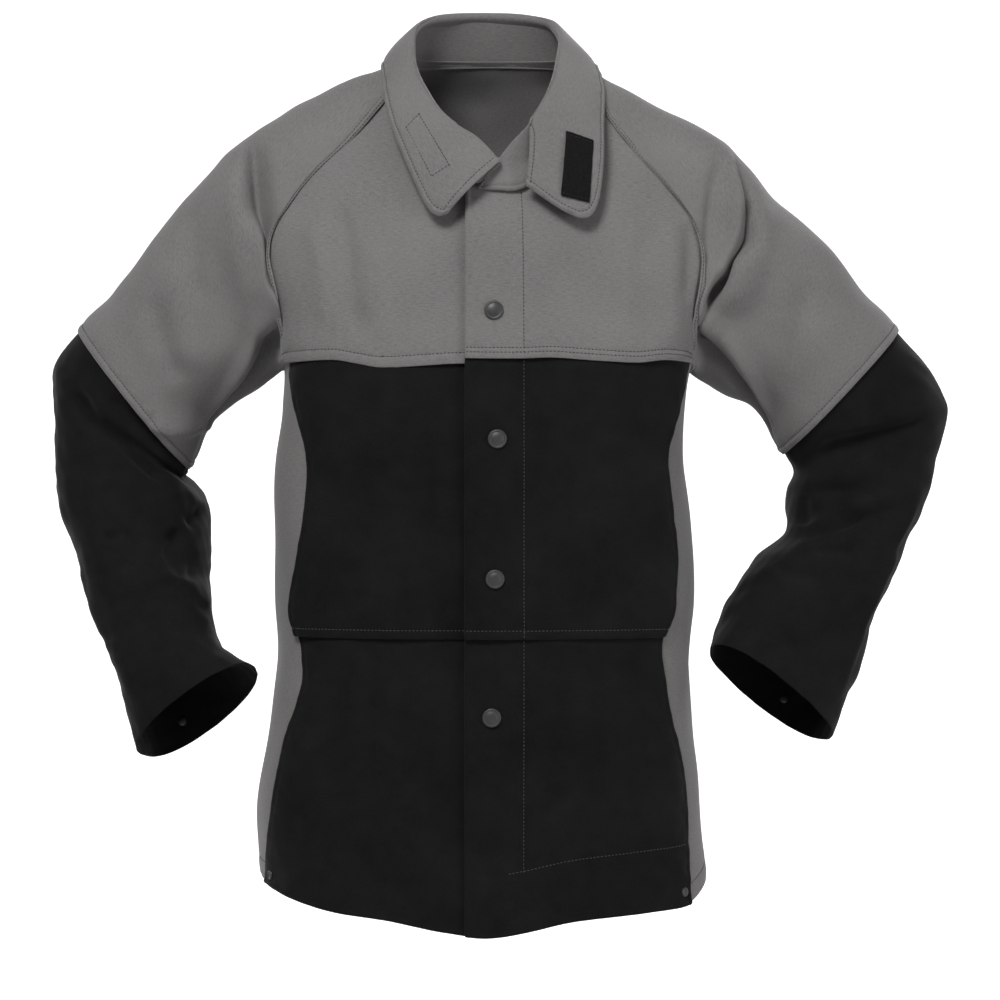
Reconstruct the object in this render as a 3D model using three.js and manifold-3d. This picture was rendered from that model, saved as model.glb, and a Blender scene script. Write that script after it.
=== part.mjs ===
// Welding jacket of grey cotton with a split-leather front and forearms, standing in its worn shape.
// Millimetres. X runs to the wearer's left, -Y is the front and +Z is up.
// The origin is the middle of the neck opening, at the height of the shoulders.

import * as THREE from 'three';
import { mergeVertices } from 'three/addons/utils/BufferGeometryUtils.js';
import Module from 'manifold-3d';

const wasm = await Module();
wasm.setup();

// Cloth and leather
const COTTON_THICKNESS = 1.2;
const LEATHER_THICKNESS = 1.6;
const COLLAR_THICKNESS = 2.4;
const PATCH_THICKNESS = 1.5;
const SEAM_GAP = 0.8;
const UNDERARM_GAP = 1.4;

// Front closing: the left front laps over the right one
const FRONT_EDGE_X = -23;
const UNDER_EDGE_X = 27;
const LAP_LIFT = 4;
const LAP_FLAT_X = 32;
const LAP_END_X = 84;
const PLACKET_CORNER = { drop: 10, share: 0.12 };

// Heights of the cross seams
const YOKE_HEM_Z = -250;
const LEATHER_LAP_Z = -495;
const ARMPIT_Z = -250;
const SIDE_SEAM_TURN = 100;

// Neck opening, by the angle from the centre front towards the wearer's left
const NECK = {
  halfWidth: 84,
  centreY: -12,
  halfDepth: 80,
  sideZ: 20,
  frontZ: -93,
  backZ: 30,
  fallPower: 1.5,
};
const RAGLAN_FRONT_ANGLE = 75;
const RAGLAN_BACK_ANGLE = 125;
const NECK_RIDGE_ANGLE = 95;

// Fasteners
const SNAP = { capRadius: 8.5, capHeight: 3.3, capRim: 1.2, postRadius: 2, flangeRadius: 5.5, flange: 1.3 };
const STUD = { plateRadius: 6, plate: 1.2, collarRadius: 5, collar: 0.9, headRadius: 2.6, head: 0.6 };
const RIVET = { headRadius: 4, head: 1.6, postRadius: 1.6, standOff: 1.5 };
const FIT_GAP = 0.3;
const POST_CLEARANCE = 0.4;
const SNAP_PLACES = [
  { x: 2, z: -205 },
  { x: 5, z: -318 },
  { x: 3, z: -442 },
  { x: 0, z: -565 },
];
const HEM_RIVET = { across: 0.965, along: 0.95 };
const CUFF_SNAP = { around: 292, fromRim: 16, radius: 7, spread: 10 };
const ROUND_SIDES = 12;
const DRILL_LENGTH = 40;

/** Columns of a table as one list for each name. */
function columns(names, rows) {
  return Object.fromEntries(names.map((name, i) => [name, rows.map((row) => row[i])]));
}

// Torso sections: half widths to each side, depths of front and back, and how square the section is
const TORSO = columns(['z', 'right', 'left', 'front', 'back', 'square'], [
  [-800, 214, 200, 134, 122, 0.25],
  [-720, 214, 197, 134, 120, 0.25],
  [-650, 215, 191, 134, 115, 0.25],
  [-530, 197, 182, 134, 108, 0.25],
  [-470, 199, 186, 134, 110, 0.25],
  [-400, 200, 183, 134, 113, 0.25],
  [-340, 198, 176, 133, 117, 0.28],
  [-290, 191, 177, 132, 119, 0.36],
  [-250, 190, 183, 130, 120, 0.38],
  [-150, 228, 220, 115, 118, 0.2],
  [-100, 218, 212, 95, 113, 0.2],
  [-60, 205, 200, 76, 105, 0.2],
  [-20, 180, 180, 54, 92, 0.2],
  [5, 125, 125, 38, 82, 0.2],
  [20, 84, 84, 24, 73, 0.2],
  [30, 70, 70, 15, 66, 0.2],
  [45, 55, 55, 5, 55, 0.2],
]);

// Hem height by the turn round the body, in degrees from the centre front towards the wearer's left
const HEM = columns(['turn', 'z'], [
  [-180, -735], [-110, -724], [-90, -720], [-71, -722], [-50, -731], [-34, -741], [-21, -747], [-9, -757],
  [0, -761], [17, -748], [36, -742], [57, -738], [75, -726], [90, -721], [110, -724], [180, -735],
]);

// Outer edge of the leather front
const LEATHER_EDGE = columns(['z', 'right', 'left'], [
  [-760, -210, 180],
  [-640, -196, 173],
  [-540, -171, 155],
  [-505, -172, 151],
  [-470, -180, 162],
  [-430, -175, 166],
  [-380, -166, 160],
  [-330, -165, 157],
  [-290, -176, 168],
  [-250, -184, 178],
]);

// Raglan seams from the neck down to the armpit
const RAGLAN_FRONT = columns(['rightX', 'rightZ', 'leftX', 'leftZ'], [
  [-81, 5, 81, 5],
  [-122, -45, 119, -49],
  [-163, -85, 157, -93],
  [-190, -120, 180, -124],
  [-199, -151, 188, -158],
  [-190, -195, 181, -205],
  [-184, -250, 178, -250],
]);
const RAGLAN_BACK = columns(['x', 'z'], [
  [69, 26], [90, 5], [120, -28], [152, -72], [176, -115], [186, -160], [180, -205], [174, -250],
]);

// Arm sections: the outer and inner points of the front view, the middle's depth, half the depth,
// how far the front runs up the arm ahead of the back, and how far both run down it
const ARM_NAMES = ['outerX', 'outerZ', 'innerX', 'innerZ', 'midY', 'halfDepth', 'rake', 'sweep'];
const ARMS = {
  right: columns(ARM_NAMES, [
    [-223, -44, -195, -260, 6, 81, 0, 18],
    [-266, -83, -213, -275, 13, 78, 0, 6],
    [-311, -134, -238, -290, 20, 76, 0, 0],
    [-345, -178, -260, -307, 28, 74, 0, 0],
    [-382, -221, -281, -348, 36, 72, 0, 0],
    [-406, -251, -285, -358, 40, 70, 0, 0],
    [-409, -274, -273, -369, 40, 68, 0, 0],
    [-405, -313, -264, -383, 36, 66, 0, 0],
    [-402, -380, -261, -414, 24, 64, 0, 0],
    [-382, -430, -260, -455, 8, 62, 4, 0],
    [-357, -504, -255, -492, -12, 60, 8, 0],
    [-341, -545, -244, -512, -26, 58, 14, 0],
    [-320, -608, -217, -528, -40, 56, 22, 0],
  ]),
  left: columns(ARM_NAMES, [
    [215, -48, 190, -262, 5, 80, 0, 18],
    [266, -100, 215, -279, 12, 78, 0, 6],
    [315, -150, 238, -291, 20, 76, 0, 0],
    [345, -184, 254, -309, 28, 74, 0, 0],
    [375, -221, 270, -334, 36, 72, 0, 0],
    [405, -254, 280, -352, 40, 70, 0, 0],
    [421, -290, 275, -368, 40, 68, 0, 0],
    [412, -330, 273, -384, 36, 66, 0, 0],
    [398, -376, 272, -408, 26, 64, 0, 0],
    [378, -418, 246, -430, 14, 62, 4, 0],
    [341, -500, 220, -466, -6, 60, 8, 0],
    [322, -548, 209, -489, -20, 58, 12, 0],
    [302, -590, 201, -508, -35, 56, 18, 0],
  ]),
};
const ELBOW_RING = 5;
const ARM_SQUARE = 0.1;
const SHOULDER_RISE = 0.12;

// Creases on the front of the arms: both ends in the front view, half the width and the depth
const CREASES = columns(['startX', 'startZ', 'endX', 'endZ', 'width', 'depth'], [
  [-221, -66, -192, -235, 15, 12],
  [222, -72, 184, -235, 15, 12],
  [-385, -275, -300, -345, 16, 7],
  [410, -318, 300, -336, 16, 7],
  [-300, -425, -262, -385, 14, 5],
  [330, -372, 275, -402, 14, 6],
]);
const CREASE_START = 0.16;

// Collar stations from the right wing's front edge round the back to the left wing's front edge:
// the stand's foot as an angle round the neck, then the fold and the leaf's outer edge
const COLLAR_NAMES = ['foot', 'foldX', 'foldY', 'foldZ', 'edgeX', 'edgeY', 'edgeZ'];
const COLLAR = columns(COLLAR_NAMES, [
  [-2, 5, -109, -72, -40, -119, -118],
  [-7, -6, -103, -60, -49, -119, -119],
  [-14, -17, -95, -49, -58, -116, -110],
  [-24, -34, -87, -37, -70, -106, -85],
  [-34, -48, -77, -25, -81, -93, -60],
  [-45, -60, -64, -8, -90, -78, -38],
  [-57, -71, -46, 13, -98, -52, -6],
  [-72, -76, -24, 38, -102, -10, 24],
  [-92, -74, 6, 56, -102, 36, 30],
  [-118, -60, 38, 68, -82, 76, 22],
  [-148, -32, 58, 73, -45, 98, 12],
  [-180, 0, 64, 74, 0, 104, 8],
  [-212, 32, 57, 72, 45, 97, 12],
  [-240, 56, 38, 66, 82, 74, 22],
  [-262, 64, 12, 55, 101, 32, 28],
  [-277, 66, -14, 42, 102, -10, 22],
  [-290, 63, -34, 26, 101, -47, -8],
  [-304, 59, -53, 8, 100, -78, -40],
  [-316, 53, -68, -8, 99, -98, -75],
  [-324, 47, -79, -19, 94, -112, -108],
  [-331, 42, -87, -27, 84, -119, -121],
  [-337, 38, -93, -33, 64, -120, -115],
  [-342, 35, -98, -39, 31, -114, -93],
]);
// The stand runs on past the left wing to its own rounded end
const STAND_END = columns(COLLAR_NAMES.slice(0, 4), [
  [-350, 20, -101, -54],
  [-359, 5, -103, -72],
  [-366, -9, -104, -86],
]);
const STAND_START = 3;
const STAND_INSET = 3.5;
const STAND_FOOT_GAP = 1.1;
const LEAF_BULGE = 5;

// Hook and loop patches: their corners in the front view, and a collar station near them
const LOOP_PATCH = { station: 18, x: [67, 90, 86, 62], z: [-45, -53, -108, -102] };
const HOOK_PATCH = { station: 4, x: [-65, -78, -54, -36], z: [-26, -40, -87, -75] };
const PATCH_GAP = 0.5;

// How finely each wall is divided: across and along
const DIVISIONS = {
  yoke: [8, 8],
  leather: [8, 6],
  side: [4, 12],
  back: [14, 16],
  sleeve: [24, 10],
  forearm: [24, 12],
  stand: [30, 3],
  leaf: [34, 4],
  patch: [3, 5],
};

const FINISH = {
  cotton: { color: 0x767473, roughness: 0.9, metalness: 0 },
  leather: { color: 0x1e1f1e, roughness: 0.95, metalness: 0 },
  loop: { color: 0x141414, roughness: 1, metalness: 0 },
  metal: { color: 0x3c3c3c, roughness: 0.55, metalness: 0.6 },
};

const SIDE_SIGN = { right: -1, left: 1 };
const { degToRad, smoothstep, clamp, lerp } = THREE.MathUtils;

// Curves

/** The interval of a rising list that a value falls in. */
function intervalOf(list, value) {
  let i = 0;
  while (i < list.length - 2 && value > list[i + 1]) i += 1;
  return i;
}

/** The four weights of a cubic between two ends: both values and both slopes. */
function cubicWeights(t) {
  const square = t * t;
  const cube = square * t;
  return [2 * cube - 3 * square + 1, 3 * square - 2 * cube, cube - 2 * square + t, cube - square];
}

/** A smooth curve through values at rising places, with slopes along the neighbours' chords. */
function smooth(places, values, at) {
  const i = intervalOf(places, at);
  const last = places.length - 1;
  const slope = (k) => {
    const before = Math.max(k - 1, 0);
    const after = Math.min(k + 1, last);
    return (values[after] - values[before]) / (places[after] - places[before]);
  };
  const step = places[i + 1] - places[i];
  const w = cubicWeights(clamp((at - places[i]) / step, 0, 1));
  return w[0] * values[i] + w[1] * values[i + 1] + step * (w[2] * slope(i) + w[3] * slope(i + 1));
}

/** A smooth plane curve through listed points, as a function of the share of its length. */
function pathThrough(xs, zs) {
  const lengths = [0];
  for (let i = 1; i < xs.length; i += 1) {
    lengths.push(lengths[i - 1] + Math.hypot(xs[i] - xs[i - 1], zs[i] - zs[i - 1]));
  }
  const whole = lengths[lengths.length - 1];
  return (share) => [smooth(lengths, xs, share * whole), smooth(lengths, zs, share * whole)];
}

// The body's own form

/** The section of the torso at one height. */
function torsoSection(z) {
  const at = (name) => smooth(TORSO.z, TORSO[name], z);
  return { right: at('right'), left: at('left'), front: at('front'), back: at('back'), square: at('square') };
}

/** The torso's surface at a turn from the centre front, in degrees, and a height. */
function torsoPoint(turn, z) {
  const section = torsoSection(z);
  const s = Math.sin(degToRad(turn));
  const c = Math.cos(degToRad(turn));
  const width = s < 0 ? section.right : section.left;
  const depth = c < 0 ? section.back : section.front;
  const x = width * s * (1 + section.square * c * c);
  return new THREE.Vector3(x, -depth * c * (1 + section.square * s * s), z);
}

/** The direction that the torso's surface faces. */
function torsoFacing(turn, z) {
  const step = 0.5;
  const round = torsoPoint(turn + step, z).sub(torsoPoint(turn - step, z));
  const up = torsoPoint(turn, z + step).sub(torsoPoint(turn, z - step));
  return round.cross(up).normalize();
}

/** The turn at which the front of the torso has a given x. */
function turnAt(x, z) {
  const section = torsoSection(z);
  const share = Math.min(Math.abs(x) / (x < 0 ? section.right : section.left), 1);
  let s = share;
  for (let pass = 0; pass < 8; pass += 1) {
    const error = s * (1 + section.square * (1 - s * s)) - share;
    s -= error / (1 + section.square * (1 - 3 * s * s));
  }
  return Math.sign(x) * THREE.MathUtils.radToDeg(Math.asin(clamp(s, 0, 1)));
}

/** The front of the torso at x and z. */
function frontPoint(x, z) {
  return torsoPoint(turnAt(x, z), z);
}

/** The turn at which the back of the torso has a given x. */
function backTurnAt(x, z) {
  return Math.sign(x) * 180 - turnAt(x, z);
}

/** A point of the neck opening's edge, by its angle from the centre front. */
function neckPoint(angle) {
  const a = degToRad(angle);
  const x = NECK.halfWidth * Math.sin(a);
  const c = Math.cos(a);
  const z = c > 0
    ? lerp(NECK.sideZ, NECK.frontZ, c ** NECK.fallPower)
    : lerp(NECK.sideZ, NECK.backZ, -c);
  const away = Math.abs(THREE.MathUtils.euclideanModulo(angle + 180, 360) - 180);
  if (away <= RAGLAN_FRONT_ANGLE) return frontPoint(x, z);
  if (away >= RAGLAN_BACK_ANGLE) return torsoPoint(backTurnAt(x, z), z);
  return new THREE.Vector3(x, NECK.centreY - NECK.halfDepth * c, z);
}

/** How far the left front stands off the body at x, so that it clears the right front. */
function lapLift(x) {
  return (LAP_LIFT + COTTON_THICKNESS) * (1 - smoothstep(x, LAP_FLAT_X, LAP_END_X));
}

// Solids

/** The direction that a surface faces, turned the same way as the outward hint. */
function facing(surface, u, v, outward) {
  const step = 0.002;
  const before = [Math.max(u - step, 0), Math.max(v - step, 0)];
  const after = [Math.min(u + step, 1), Math.min(v + step, 1)];
  const across = surface(after[0], v).sub(surface(before[0], v));
  const along = surface(u, after[1]).sub(surface(u, before[1]));
  const normal = across.cross(along).normalize();
  return normal.dot(outward(surface(u, v))) < 0 ? normal.negate() : normal;
}

/** A closed solid from vertices and triangles, with its faces outwards. */
function solidGeometry(points, triangles) {
  let volume = 0;
  for (const [a, b, c] of triangles) {
    volume += points[a].dot(new THREE.Vector3().crossVectors(points[b], points[c]));
  }
  const order = volume < 0 ? triangles.map(([a, b, c]) => [a, c, b]) : triangles;
  const geometry = new THREE.BufferGeometry();
  geometry.setAttribute('position', new THREE.Float32BufferAttribute(points.flatMap((p) => p.toArray()), 3));
  geometry.setIndex(order.flat());
  return geometry;
}

/**
 * A wall whose outer face is surface(u, v) and whose inner face lies one thickness behind it,
 * against the direction facingAt(u, v). A ring closes on itself across, so only its ends have rims.
 */
function wall(surface, [across, along], thickness, facingAt, ring = false) {
  const wide = ring ? across : across + 1;
  const points = [];
  for (const depth of [0, thickness]) {
    for (let j = 0; j <= along; j += 1) {
      for (let i = 0; i < wide; i += 1) {
        const [u, v] = [i / across, j / along];
        points.push(surface(u, v).addScaledVector(facingAt(u, v), -depth));
      }
    }
  }
  const layer = wide * (along + 1);
  const at = (i, j, inner) => inner * layer + j * wide + (i % wide);
  const triangles = [];
  const quad = (a, b, c, d) => triangles.push([a, b, c], [a, c, d]);
  for (let j = 0; j < along; j += 1) {
    for (let i = 0; i < across; i += 1) {
      quad(at(i, j, 0), at(i + 1, j, 0), at(i + 1, j + 1, 0), at(i, j + 1, 0));
      quad(at(i, j, 1), at(i, j + 1, 1), at(i + 1, j + 1, 1), at(i + 1, j, 1));
    }
  }
  for (let i = 0; i < across; i += 1) {
    quad(at(i, 0, 1), at(i + 1, 0, 1), at(i + 1, 0, 0), at(i, 0, 0));
    quad(at(i, along, 0), at(i + 1, along, 0), at(i + 1, along, 1), at(i, along, 1));
  }
  if (!ring) {
    for (let j = 0; j < along; j += 1) {
      quad(at(0, j, 0), at(0, j + 1, 0), at(0, j + 1, 1), at(0, j, 1));
      quad(at(across, j, 1), at(across, j + 1, 1), at(across, j + 1, 0), at(across, j, 0));
    }
  }
  return solidGeometry(points, triangles);
}

/** A patch between four edges, each a function of its share, in the two coordinates that they use. */
function patchBetween(top, bottom, start, end) {
  const corner = [top(0), top(1), bottom(0), bottom(1)];
  return (u, v) => [0, 1].map((k) => {
    const ruled = lerp(top(u)[k], bottom(u)[k], v) + lerp(start(v)[k], end(v)[k], u);
    const level = lerp(lerp(corner[0][k], corner[1][k], u), lerp(corner[2][k], corner[3][k], u), v);
    return ruled - level;
  });
}

/** A straight edge between two places. */
function straight(from, to) {
  return (share) => [lerp(from[0], to[0], share), lerp(from[1], to[1], share)];
}

/** A wall of the torso, from a patch that gives each place's turn and height. */
function torsoWall(patch, divisions, thickness, lift = () => 0) {
  const facingAt = (u, v) => torsoFacing(...patch(u, v));
  const surface = (u, v) => {
    const point = torsoPoint(...patch(u, v));
    return point.addScaledVector(facingAt(u, v), lift(point.x));
  };
  return wall(surface, divisions, thickness, facingAt);
}

/** A wall of any other surface, whose facing is turned the same way as the outward hint. */
function freeWall(surface, divisions, thickness, outward, ring = false) {
  return wall(surface, divisions, thickness, (u, v) => facing(surface, u, v, outward), ring);
}

/** A solid of revolution about +Z through (radius, height) points, closed on the axis. */
function turned(profile) {
  const lathe = new THREE.LatheGeometry(profile.map(([r, h]) => new THREE.Vector2(r, h)), ROUND_SIDES);
  lathe.rotateX(Math.PI / 2);
  return lathe;
}

/** A closed geometry as a solid that can be cut. */
function asSolid(geometry) {
  const bare = geometry.clone();
  bare.deleteAttribute('normal');
  bare.deleteAttribute('uv');
  const merged = mergeVertices(bare, 1e-3);
  const vertProperties = Float32Array.from(merged.attributes.position.array);
  const triVerts = Uint32Array.from(merged.index.array);
  return new wasm.Manifold(new wasm.Mesh({ numProp: 3, vertProperties, triVerts }));
}

/** The wall with a round hole at each place, square to the cloth there. */
function pierced(geometry, places, radius) {
  let solid = asSolid(geometry);
  for (const place of places) {
    const drill = new THREE.CylinderGeometry(radius, radius, DRILL_LENGTH, ROUND_SIDES);
    drill.rotateX(Math.PI / 2);
    drill.applyQuaternion(uprightTo(place.normal));
    drill.translate(place.point.x, place.point.y, place.point.z);
    solid = solid.subtract(asSolid(drill));
  }
  const mesh = solid.getMesh();
  const cut = new THREE.BufferGeometry();
  cut.setAttribute('position', new THREE.BufferAttribute(Float32Array.from(mesh.vertProperties), 3));
  cut.setIndex(new THREE.BufferAttribute(Uint32Array.from(mesh.triVerts), 1));
  return cut;
}

/** The rotation that turns +Z to a direction. */
function uprightTo(direction) {
  return new THREE.Quaternion().setFromUnitVectors(new THREE.Vector3(0, 0, 1), direction);
}

// Front panels, on x and z

/** The raglan seam of one side on the front of the body. */
function raglanFront(side) {
  return pathThrough(RAGLAN_FRONT[`${side}X`], RAGLAN_FRONT[`${side}Z`]);
}

/** The outer edge of the leather front at a height. */
function leatherEdgeX(side, z) {
  return smooth(LEATHER_EDGE.z, LEATHER_EDGE[side], z);
}

/** The hem's height at a turn round the body. */
function hemZ(turn) {
  return smooth(HEM.turn, HEM.z, turn);
}

/** The hem's height at x on the front. */
function frontHemZ(x) {
  return hemZ(turnAt(x, HEM.z[HEM.turn.indexOf(0)]));
}

/** Where the leather's outer edge meets the hem, as x and z. */
function leatherHem(side) {
  const near = frontHemZ(leatherEdgeX(side, LEATHER_LAP_Z));
  const z = frontHemZ(leatherEdgeX(side, near));
  return [leatherEdgeX(side, z), z];
}

/** The front edge of one front: the left one shows, the right one lies beneath it. */
function frontEdgeX(side) {
  return side === 'left' ? FRONT_EDGE_X : UNDER_EDGE_X;
}

/** The left front at x and z, which stands off the body where it laps over the right front. */
function leftFrontPoint(x, z) {
  return frontPoint(x, z).addScaledVector(torsoFacing(turnAt(x, z), z), lapLift(x));
}

/** A front panel's wall, from its patch in x and z. */
function frontWall(side, patch, divisions, thickness) {
  const turned = (u, v) => {
    const [x, z] = patch(u, v);
    return [turnAt(x, z), z];
  };
  return torsoWall(turned, divisions, thickness, side === 'left' ? lapLift : undefined);
}

/** The grey upper front of one side, between the neck, the raglan seam and its hem. */
function yokePatch(side) {
  const sign = SIDE_SIGN[side];
  const edgeX = frontEdgeX(side);
  const seam = raglanFront(side);
  const startAngle = THREE.MathUtils.radToDeg(Math.asin(edgeX / NECK.halfWidth));
  const neck = (share) => {
    const point = neckPoint(lerp(startAngle, sign * RAGLAN_FRONT_ANGLE, share));
    const rounding = side === 'left' ? 1 - smoothstep(share, 0, PLACKET_CORNER.share) : 0;
    return [point.x, point.z - PLACKET_CORNER.drop * rounding];
  };
  const top = neck(0);
  const corner = seam(1);
  return patchBetween(
    neck,
    straight([edgeX, YOKE_HEM_Z], corner),
    straight(top, [edgeX, YOKE_HEM_Z]),
    seam,
  );
}

/** A leather front panel of one side between two heights, or down to the hem. */
function leatherPatch(side, topZ, bottomZ) {
  const edgeX = frontEdgeX(side);
  const foot = (x) => (bottomZ === undefined ? frontHemZ(x) : bottomZ);
  const [endX, endZ] = bottomZ === undefined ? leatherHem(side) : [leatherEdgeX(side, bottomZ), bottomZ];
  return patchBetween(
    straight([edgeX, topZ], [leatherEdgeX(side, topZ), topZ]),
    (share) => [lerp(edgeX, endX, share), foot(lerp(edgeX, endX, share))],
    straight([edgeX, topZ], [edgeX, foot(edgeX)]),
    (share) => [leatherEdgeX(side, lerp(topZ, endZ, share)), lerp(topZ, endZ, share)],
  );
}

// Side and back panels, on the turn and z

/** The share of a degree or so that a seam's gap takes at the side of the body. */
const GAP_TURN = 0.45;

/** The grey strip of one side, from the leather's edge to the side seam. */
function sidePatch(side) {
  const sign = SIDE_SIGN[side];
  const edgeTurn = (z) => turnAt(leatherEdgeX(side, z), z) + sign * GAP_TURN;
  const topZ = ARMPIT_Z - UNDERARM_GAP;
  const seamTurn = sign * SIDE_SEAM_TURN;
  const edgeHem = leatherHem(side)[1];
  const downTo = (foot) => (share) => (share < 0.5
    ? lerp(topZ, LEATHER_LAP_Z, 2 * share)
    : lerp(LEATHER_LAP_Z, foot, 2 * share - 1));
  const edgeDown = downTo(edgeHem);
  const seamDown = downTo(hemZ(seamTurn));
  return patchBetween(
    straight([edgeTurn(topZ), topZ], [seamTurn, topZ]),
    (share) => {
      const turn = lerp(edgeTurn(edgeHem), seamTurn, share);
      return [turn, hemZ(turn)];
    },
    (share) => [edgeTurn(edgeDown(share)), edgeDown(share)],
    (share) => [seamTurn, seamDown(share)],
  );
}

/** One edge of the back: down the raglan seam to the armpit, then down the side seam to the hem. */
function backEdge(sign) {
  const seam = pathThrough(RAGLAN_BACK.x.map((x) => sign * x), RAGLAN_BACK.z);
  const seamShare = 8 / DIVISIONS.back[1];
  const underarmShare = 9 / DIVISIONS.back[1];
  const sideTurn = sign * (SIDE_SEAM_TURN + GAP_TURN);
  return (share) => {
    if (share < seamShare) {
      const [x, z] = seam(share / seamShare);
      return [sign * backTurnAt(x, z), z];
    }
    const armpit = sign * backTurnAt(...seam(1));
    const topZ = ARMPIT_Z - UNDERARM_GAP;
    if (share < underarmShare) {
      const turn = lerp(armpit, sign * sideTurn, (share - seamShare) / (underarmShare - seamShare));
      return [turn, topZ];
    }
    const down = (share - underarmShare) / (1 - underarmShare);
    return [sign * sideTurn, lerp(topZ, hemZ(sideTurn), down)];
  };
}

/** The plain back, from the neck to the hem between both side seams. */
function backPatch() {
  const rightEdge = backEdge(-1);
  const leftEdge = backEdge(1);
  const start = (share) => {
    const [turn, z] = rightEdge(share);
    return [360 - turn, z];
  };
  const neck = (share) => {
    const point = neckPoint(lerp(360 - RAGLAN_BACK_ANGLE, RAGLAN_BACK_ANGLE, share));
    const turn = backTurnAt(point.x, point.z);
    return [point.x < 0 ? 360 + turn : turn, point.z];
  };
  const sideTurn = SIDE_SEAM_TURN + GAP_TURN;
  const hem = (share) => {
    const turn = lerp(360 - sideTurn, sideTurn, share);
    return [turn, hemZ(turn > 180 ? turn - 360 : turn)];
  };
  const patch = patchBetween(neck, hem, start, leftEdge);
  // The edges stand still at the armpits' height, and the rows between them go on evenly
  return (u, v) => {
    const [turn, z] = patch(u, v);
    const evenZ = lerp(neck(u)[1], hem(u)[1], v);
    return [turn, lerp(evenZ, z, (2 * u - 1) ** 2)];
  };
}

// Arms

/** The seam loop where a sleeve leaves the body, by the angle round the arm in degrees. */
function raglanLoop(side) {
  const sign = SIDE_SIGN[side];
  const neckHalf = 30;
  const seamEnd = 150;
  const front = raglanFront(side);
  const back = pathThrough(RAGLAN_BACK.x.map((x) => sign * x), RAGLAN_BACK.z);
  const armpits = [turnAt(...front(1)), backTurnAt(...back(1))];
  return (angle) => {
    const signed = angle > 180 ? angle - 360 : angle;
    const away = Math.abs(signed);
    const share = (away - neckHalf) / (seamEnd - neckHalf);
    if (away <= neckHalf) {
      const end = signed < 0 ? RAGLAN_BACK_ANGLE : RAGLAN_FRONT_ANGLE;
      return neckPoint(sign * lerp(NECK_RIDGE_ANGLE, end, away / neckHalf));
    }
    if (away >= seamEnd) {
      const under = (angle - seamEnd) / (360 - 2 * seamEnd);
      return torsoPoint(lerp(...armpits, under), ARMPIT_Z);
    }
    if (signed > 0) return frontPoint(...front(share));
    const [x, z] = back(share);
    return torsoPoint(backTurnAt(x, z), z);
  };
}

/** One arm as a surface of the angle round it and the distance down it, with its rings' distances. */
function armSurface(side) {
  const sign = SIDE_SIGN[side];
  const table = ARMS[side];
  const seam = raglanLoop(side);
  const centres = table.outerX.map((x, k) => new THREE.Vector3(
    (x + table.innerX[k]) / 2,
    table.midY[k],
    (table.outerZ[k] + table.innerZ[k]) / 2,
  ));
  const ring = (k, angle) => {
    if (k === 0) return seam(angle);
    const row = k - 1;
    const c = Math.cos(degToRad(angle));
    const s = Math.sin(degToRad(angle));
    const half = new THREE.Vector3(table.outerX[row], 0, table.outerZ[row])
      .sub(new THREE.Vector3(table.innerX[row], 0, table.innerZ[row])).multiplyScalar(0.5);
    const down = new THREE.Vector3(sign * half.z, 0, -sign * half.x).normalize();
    return centres[row].clone()
      .addScaledVector(half, c * (1 + ARM_SQUARE * s * s))
      .add(new THREE.Vector3(0, -table.halfDepth[row] * s * (1 + ARM_SQUARE * c * c), 0))
      .addScaledVector(down, table.sweep[row] * s * s - table.rake[row] * s);
  };
  const count = table.outerX.length;
  const samples = [0, 45, 90, 135, 180, 225, 270, 315];
  const places = [0];
  for (let k = 1; k <= count; k += 1) {
    const gaps = samples.map((angle) => ring(k, angle).distanceTo(ring(k - 1, angle)));
    places.push(places[k - 1] + gaps.reduce((sum, gap) => sum + gap) / gaps.length);
  }
  const slope = (k, angle) => {
    const before = Math.max(k - 1, 0);
    const after = Math.min(k + 1, count);
    const run = ring(after, angle).sub(ring(before, angle)).divideScalar(places[after] - places[before]);
    if (k === 0) run.z += SHOULDER_RISE * run.length() * Math.max(Math.cos(degToRad(angle)), 0);
    return run;
  };
  const smoothPoint = (angle, at) => {
    const i = intervalOf(places, at);
    const step = places[i + 1] - places[i];
    const w = cubicWeights((at - places[i]) / step);
    return ring(i, angle).multiplyScalar(w[0])
      .addScaledVector(ring(i + 1, angle), w[1])
      .addScaledVector(slope(i, angle), step * w[2])
      .addScaledVector(slope(i + 1, angle), step * w[3]);
  };
  const middle = (at) => {
    const ringPlaces = places.slice(1);
    const along = (name) => smooth(ringPlaces, centres.map((p) => p[name]), Math.max(at, ringPlaces[0]));
    return new THREE.Vector3(along('x'), along('y'), along('z'));
  };
  const point = (angle, at) => {
    const base = smoothPoint(angle, at);
    const inward = middle(at).sub(base).normalize();
    const fade = smoothstep(at / places[count], 0, CREASE_START) * Math.max(Math.sin(degToRad(angle)), 0);
    return base.addScaledVector(inward, creaseDepth(base) * fade);
  };
  const gapShare = (angle) => SEAM_GAP / Math.max(slope(0, angle).length(), 0.05);
  return { point, middle, places, gapShare };
}

/** How deep the creases press in at a point of the arm's front. */
function creaseDepth(point) {
  let depth = 0;
  for (let i = 0; i < CREASES.width.length; i += 1) {
    const run = new THREE.Vector2(CREASES.endX[i] - CREASES.startX[i], CREASES.endZ[i] - CREASES.startZ[i]);
    const from = new THREE.Vector2(point.x - CREASES.startX[i], point.z - CREASES.startZ[i]);
    const share = from.dot(run) / run.lengthSq();
    const across = from.cross(run) / run.length() / CREASES.width[i];
    const ends = smoothstep(share, -0.1, 0.2) * (1 - smoothstep(share, 0.8, 1.1));
    depth += CREASES.depth[i] * ends * Math.exp(-across * across);
  }
  return depth;
}

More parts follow.
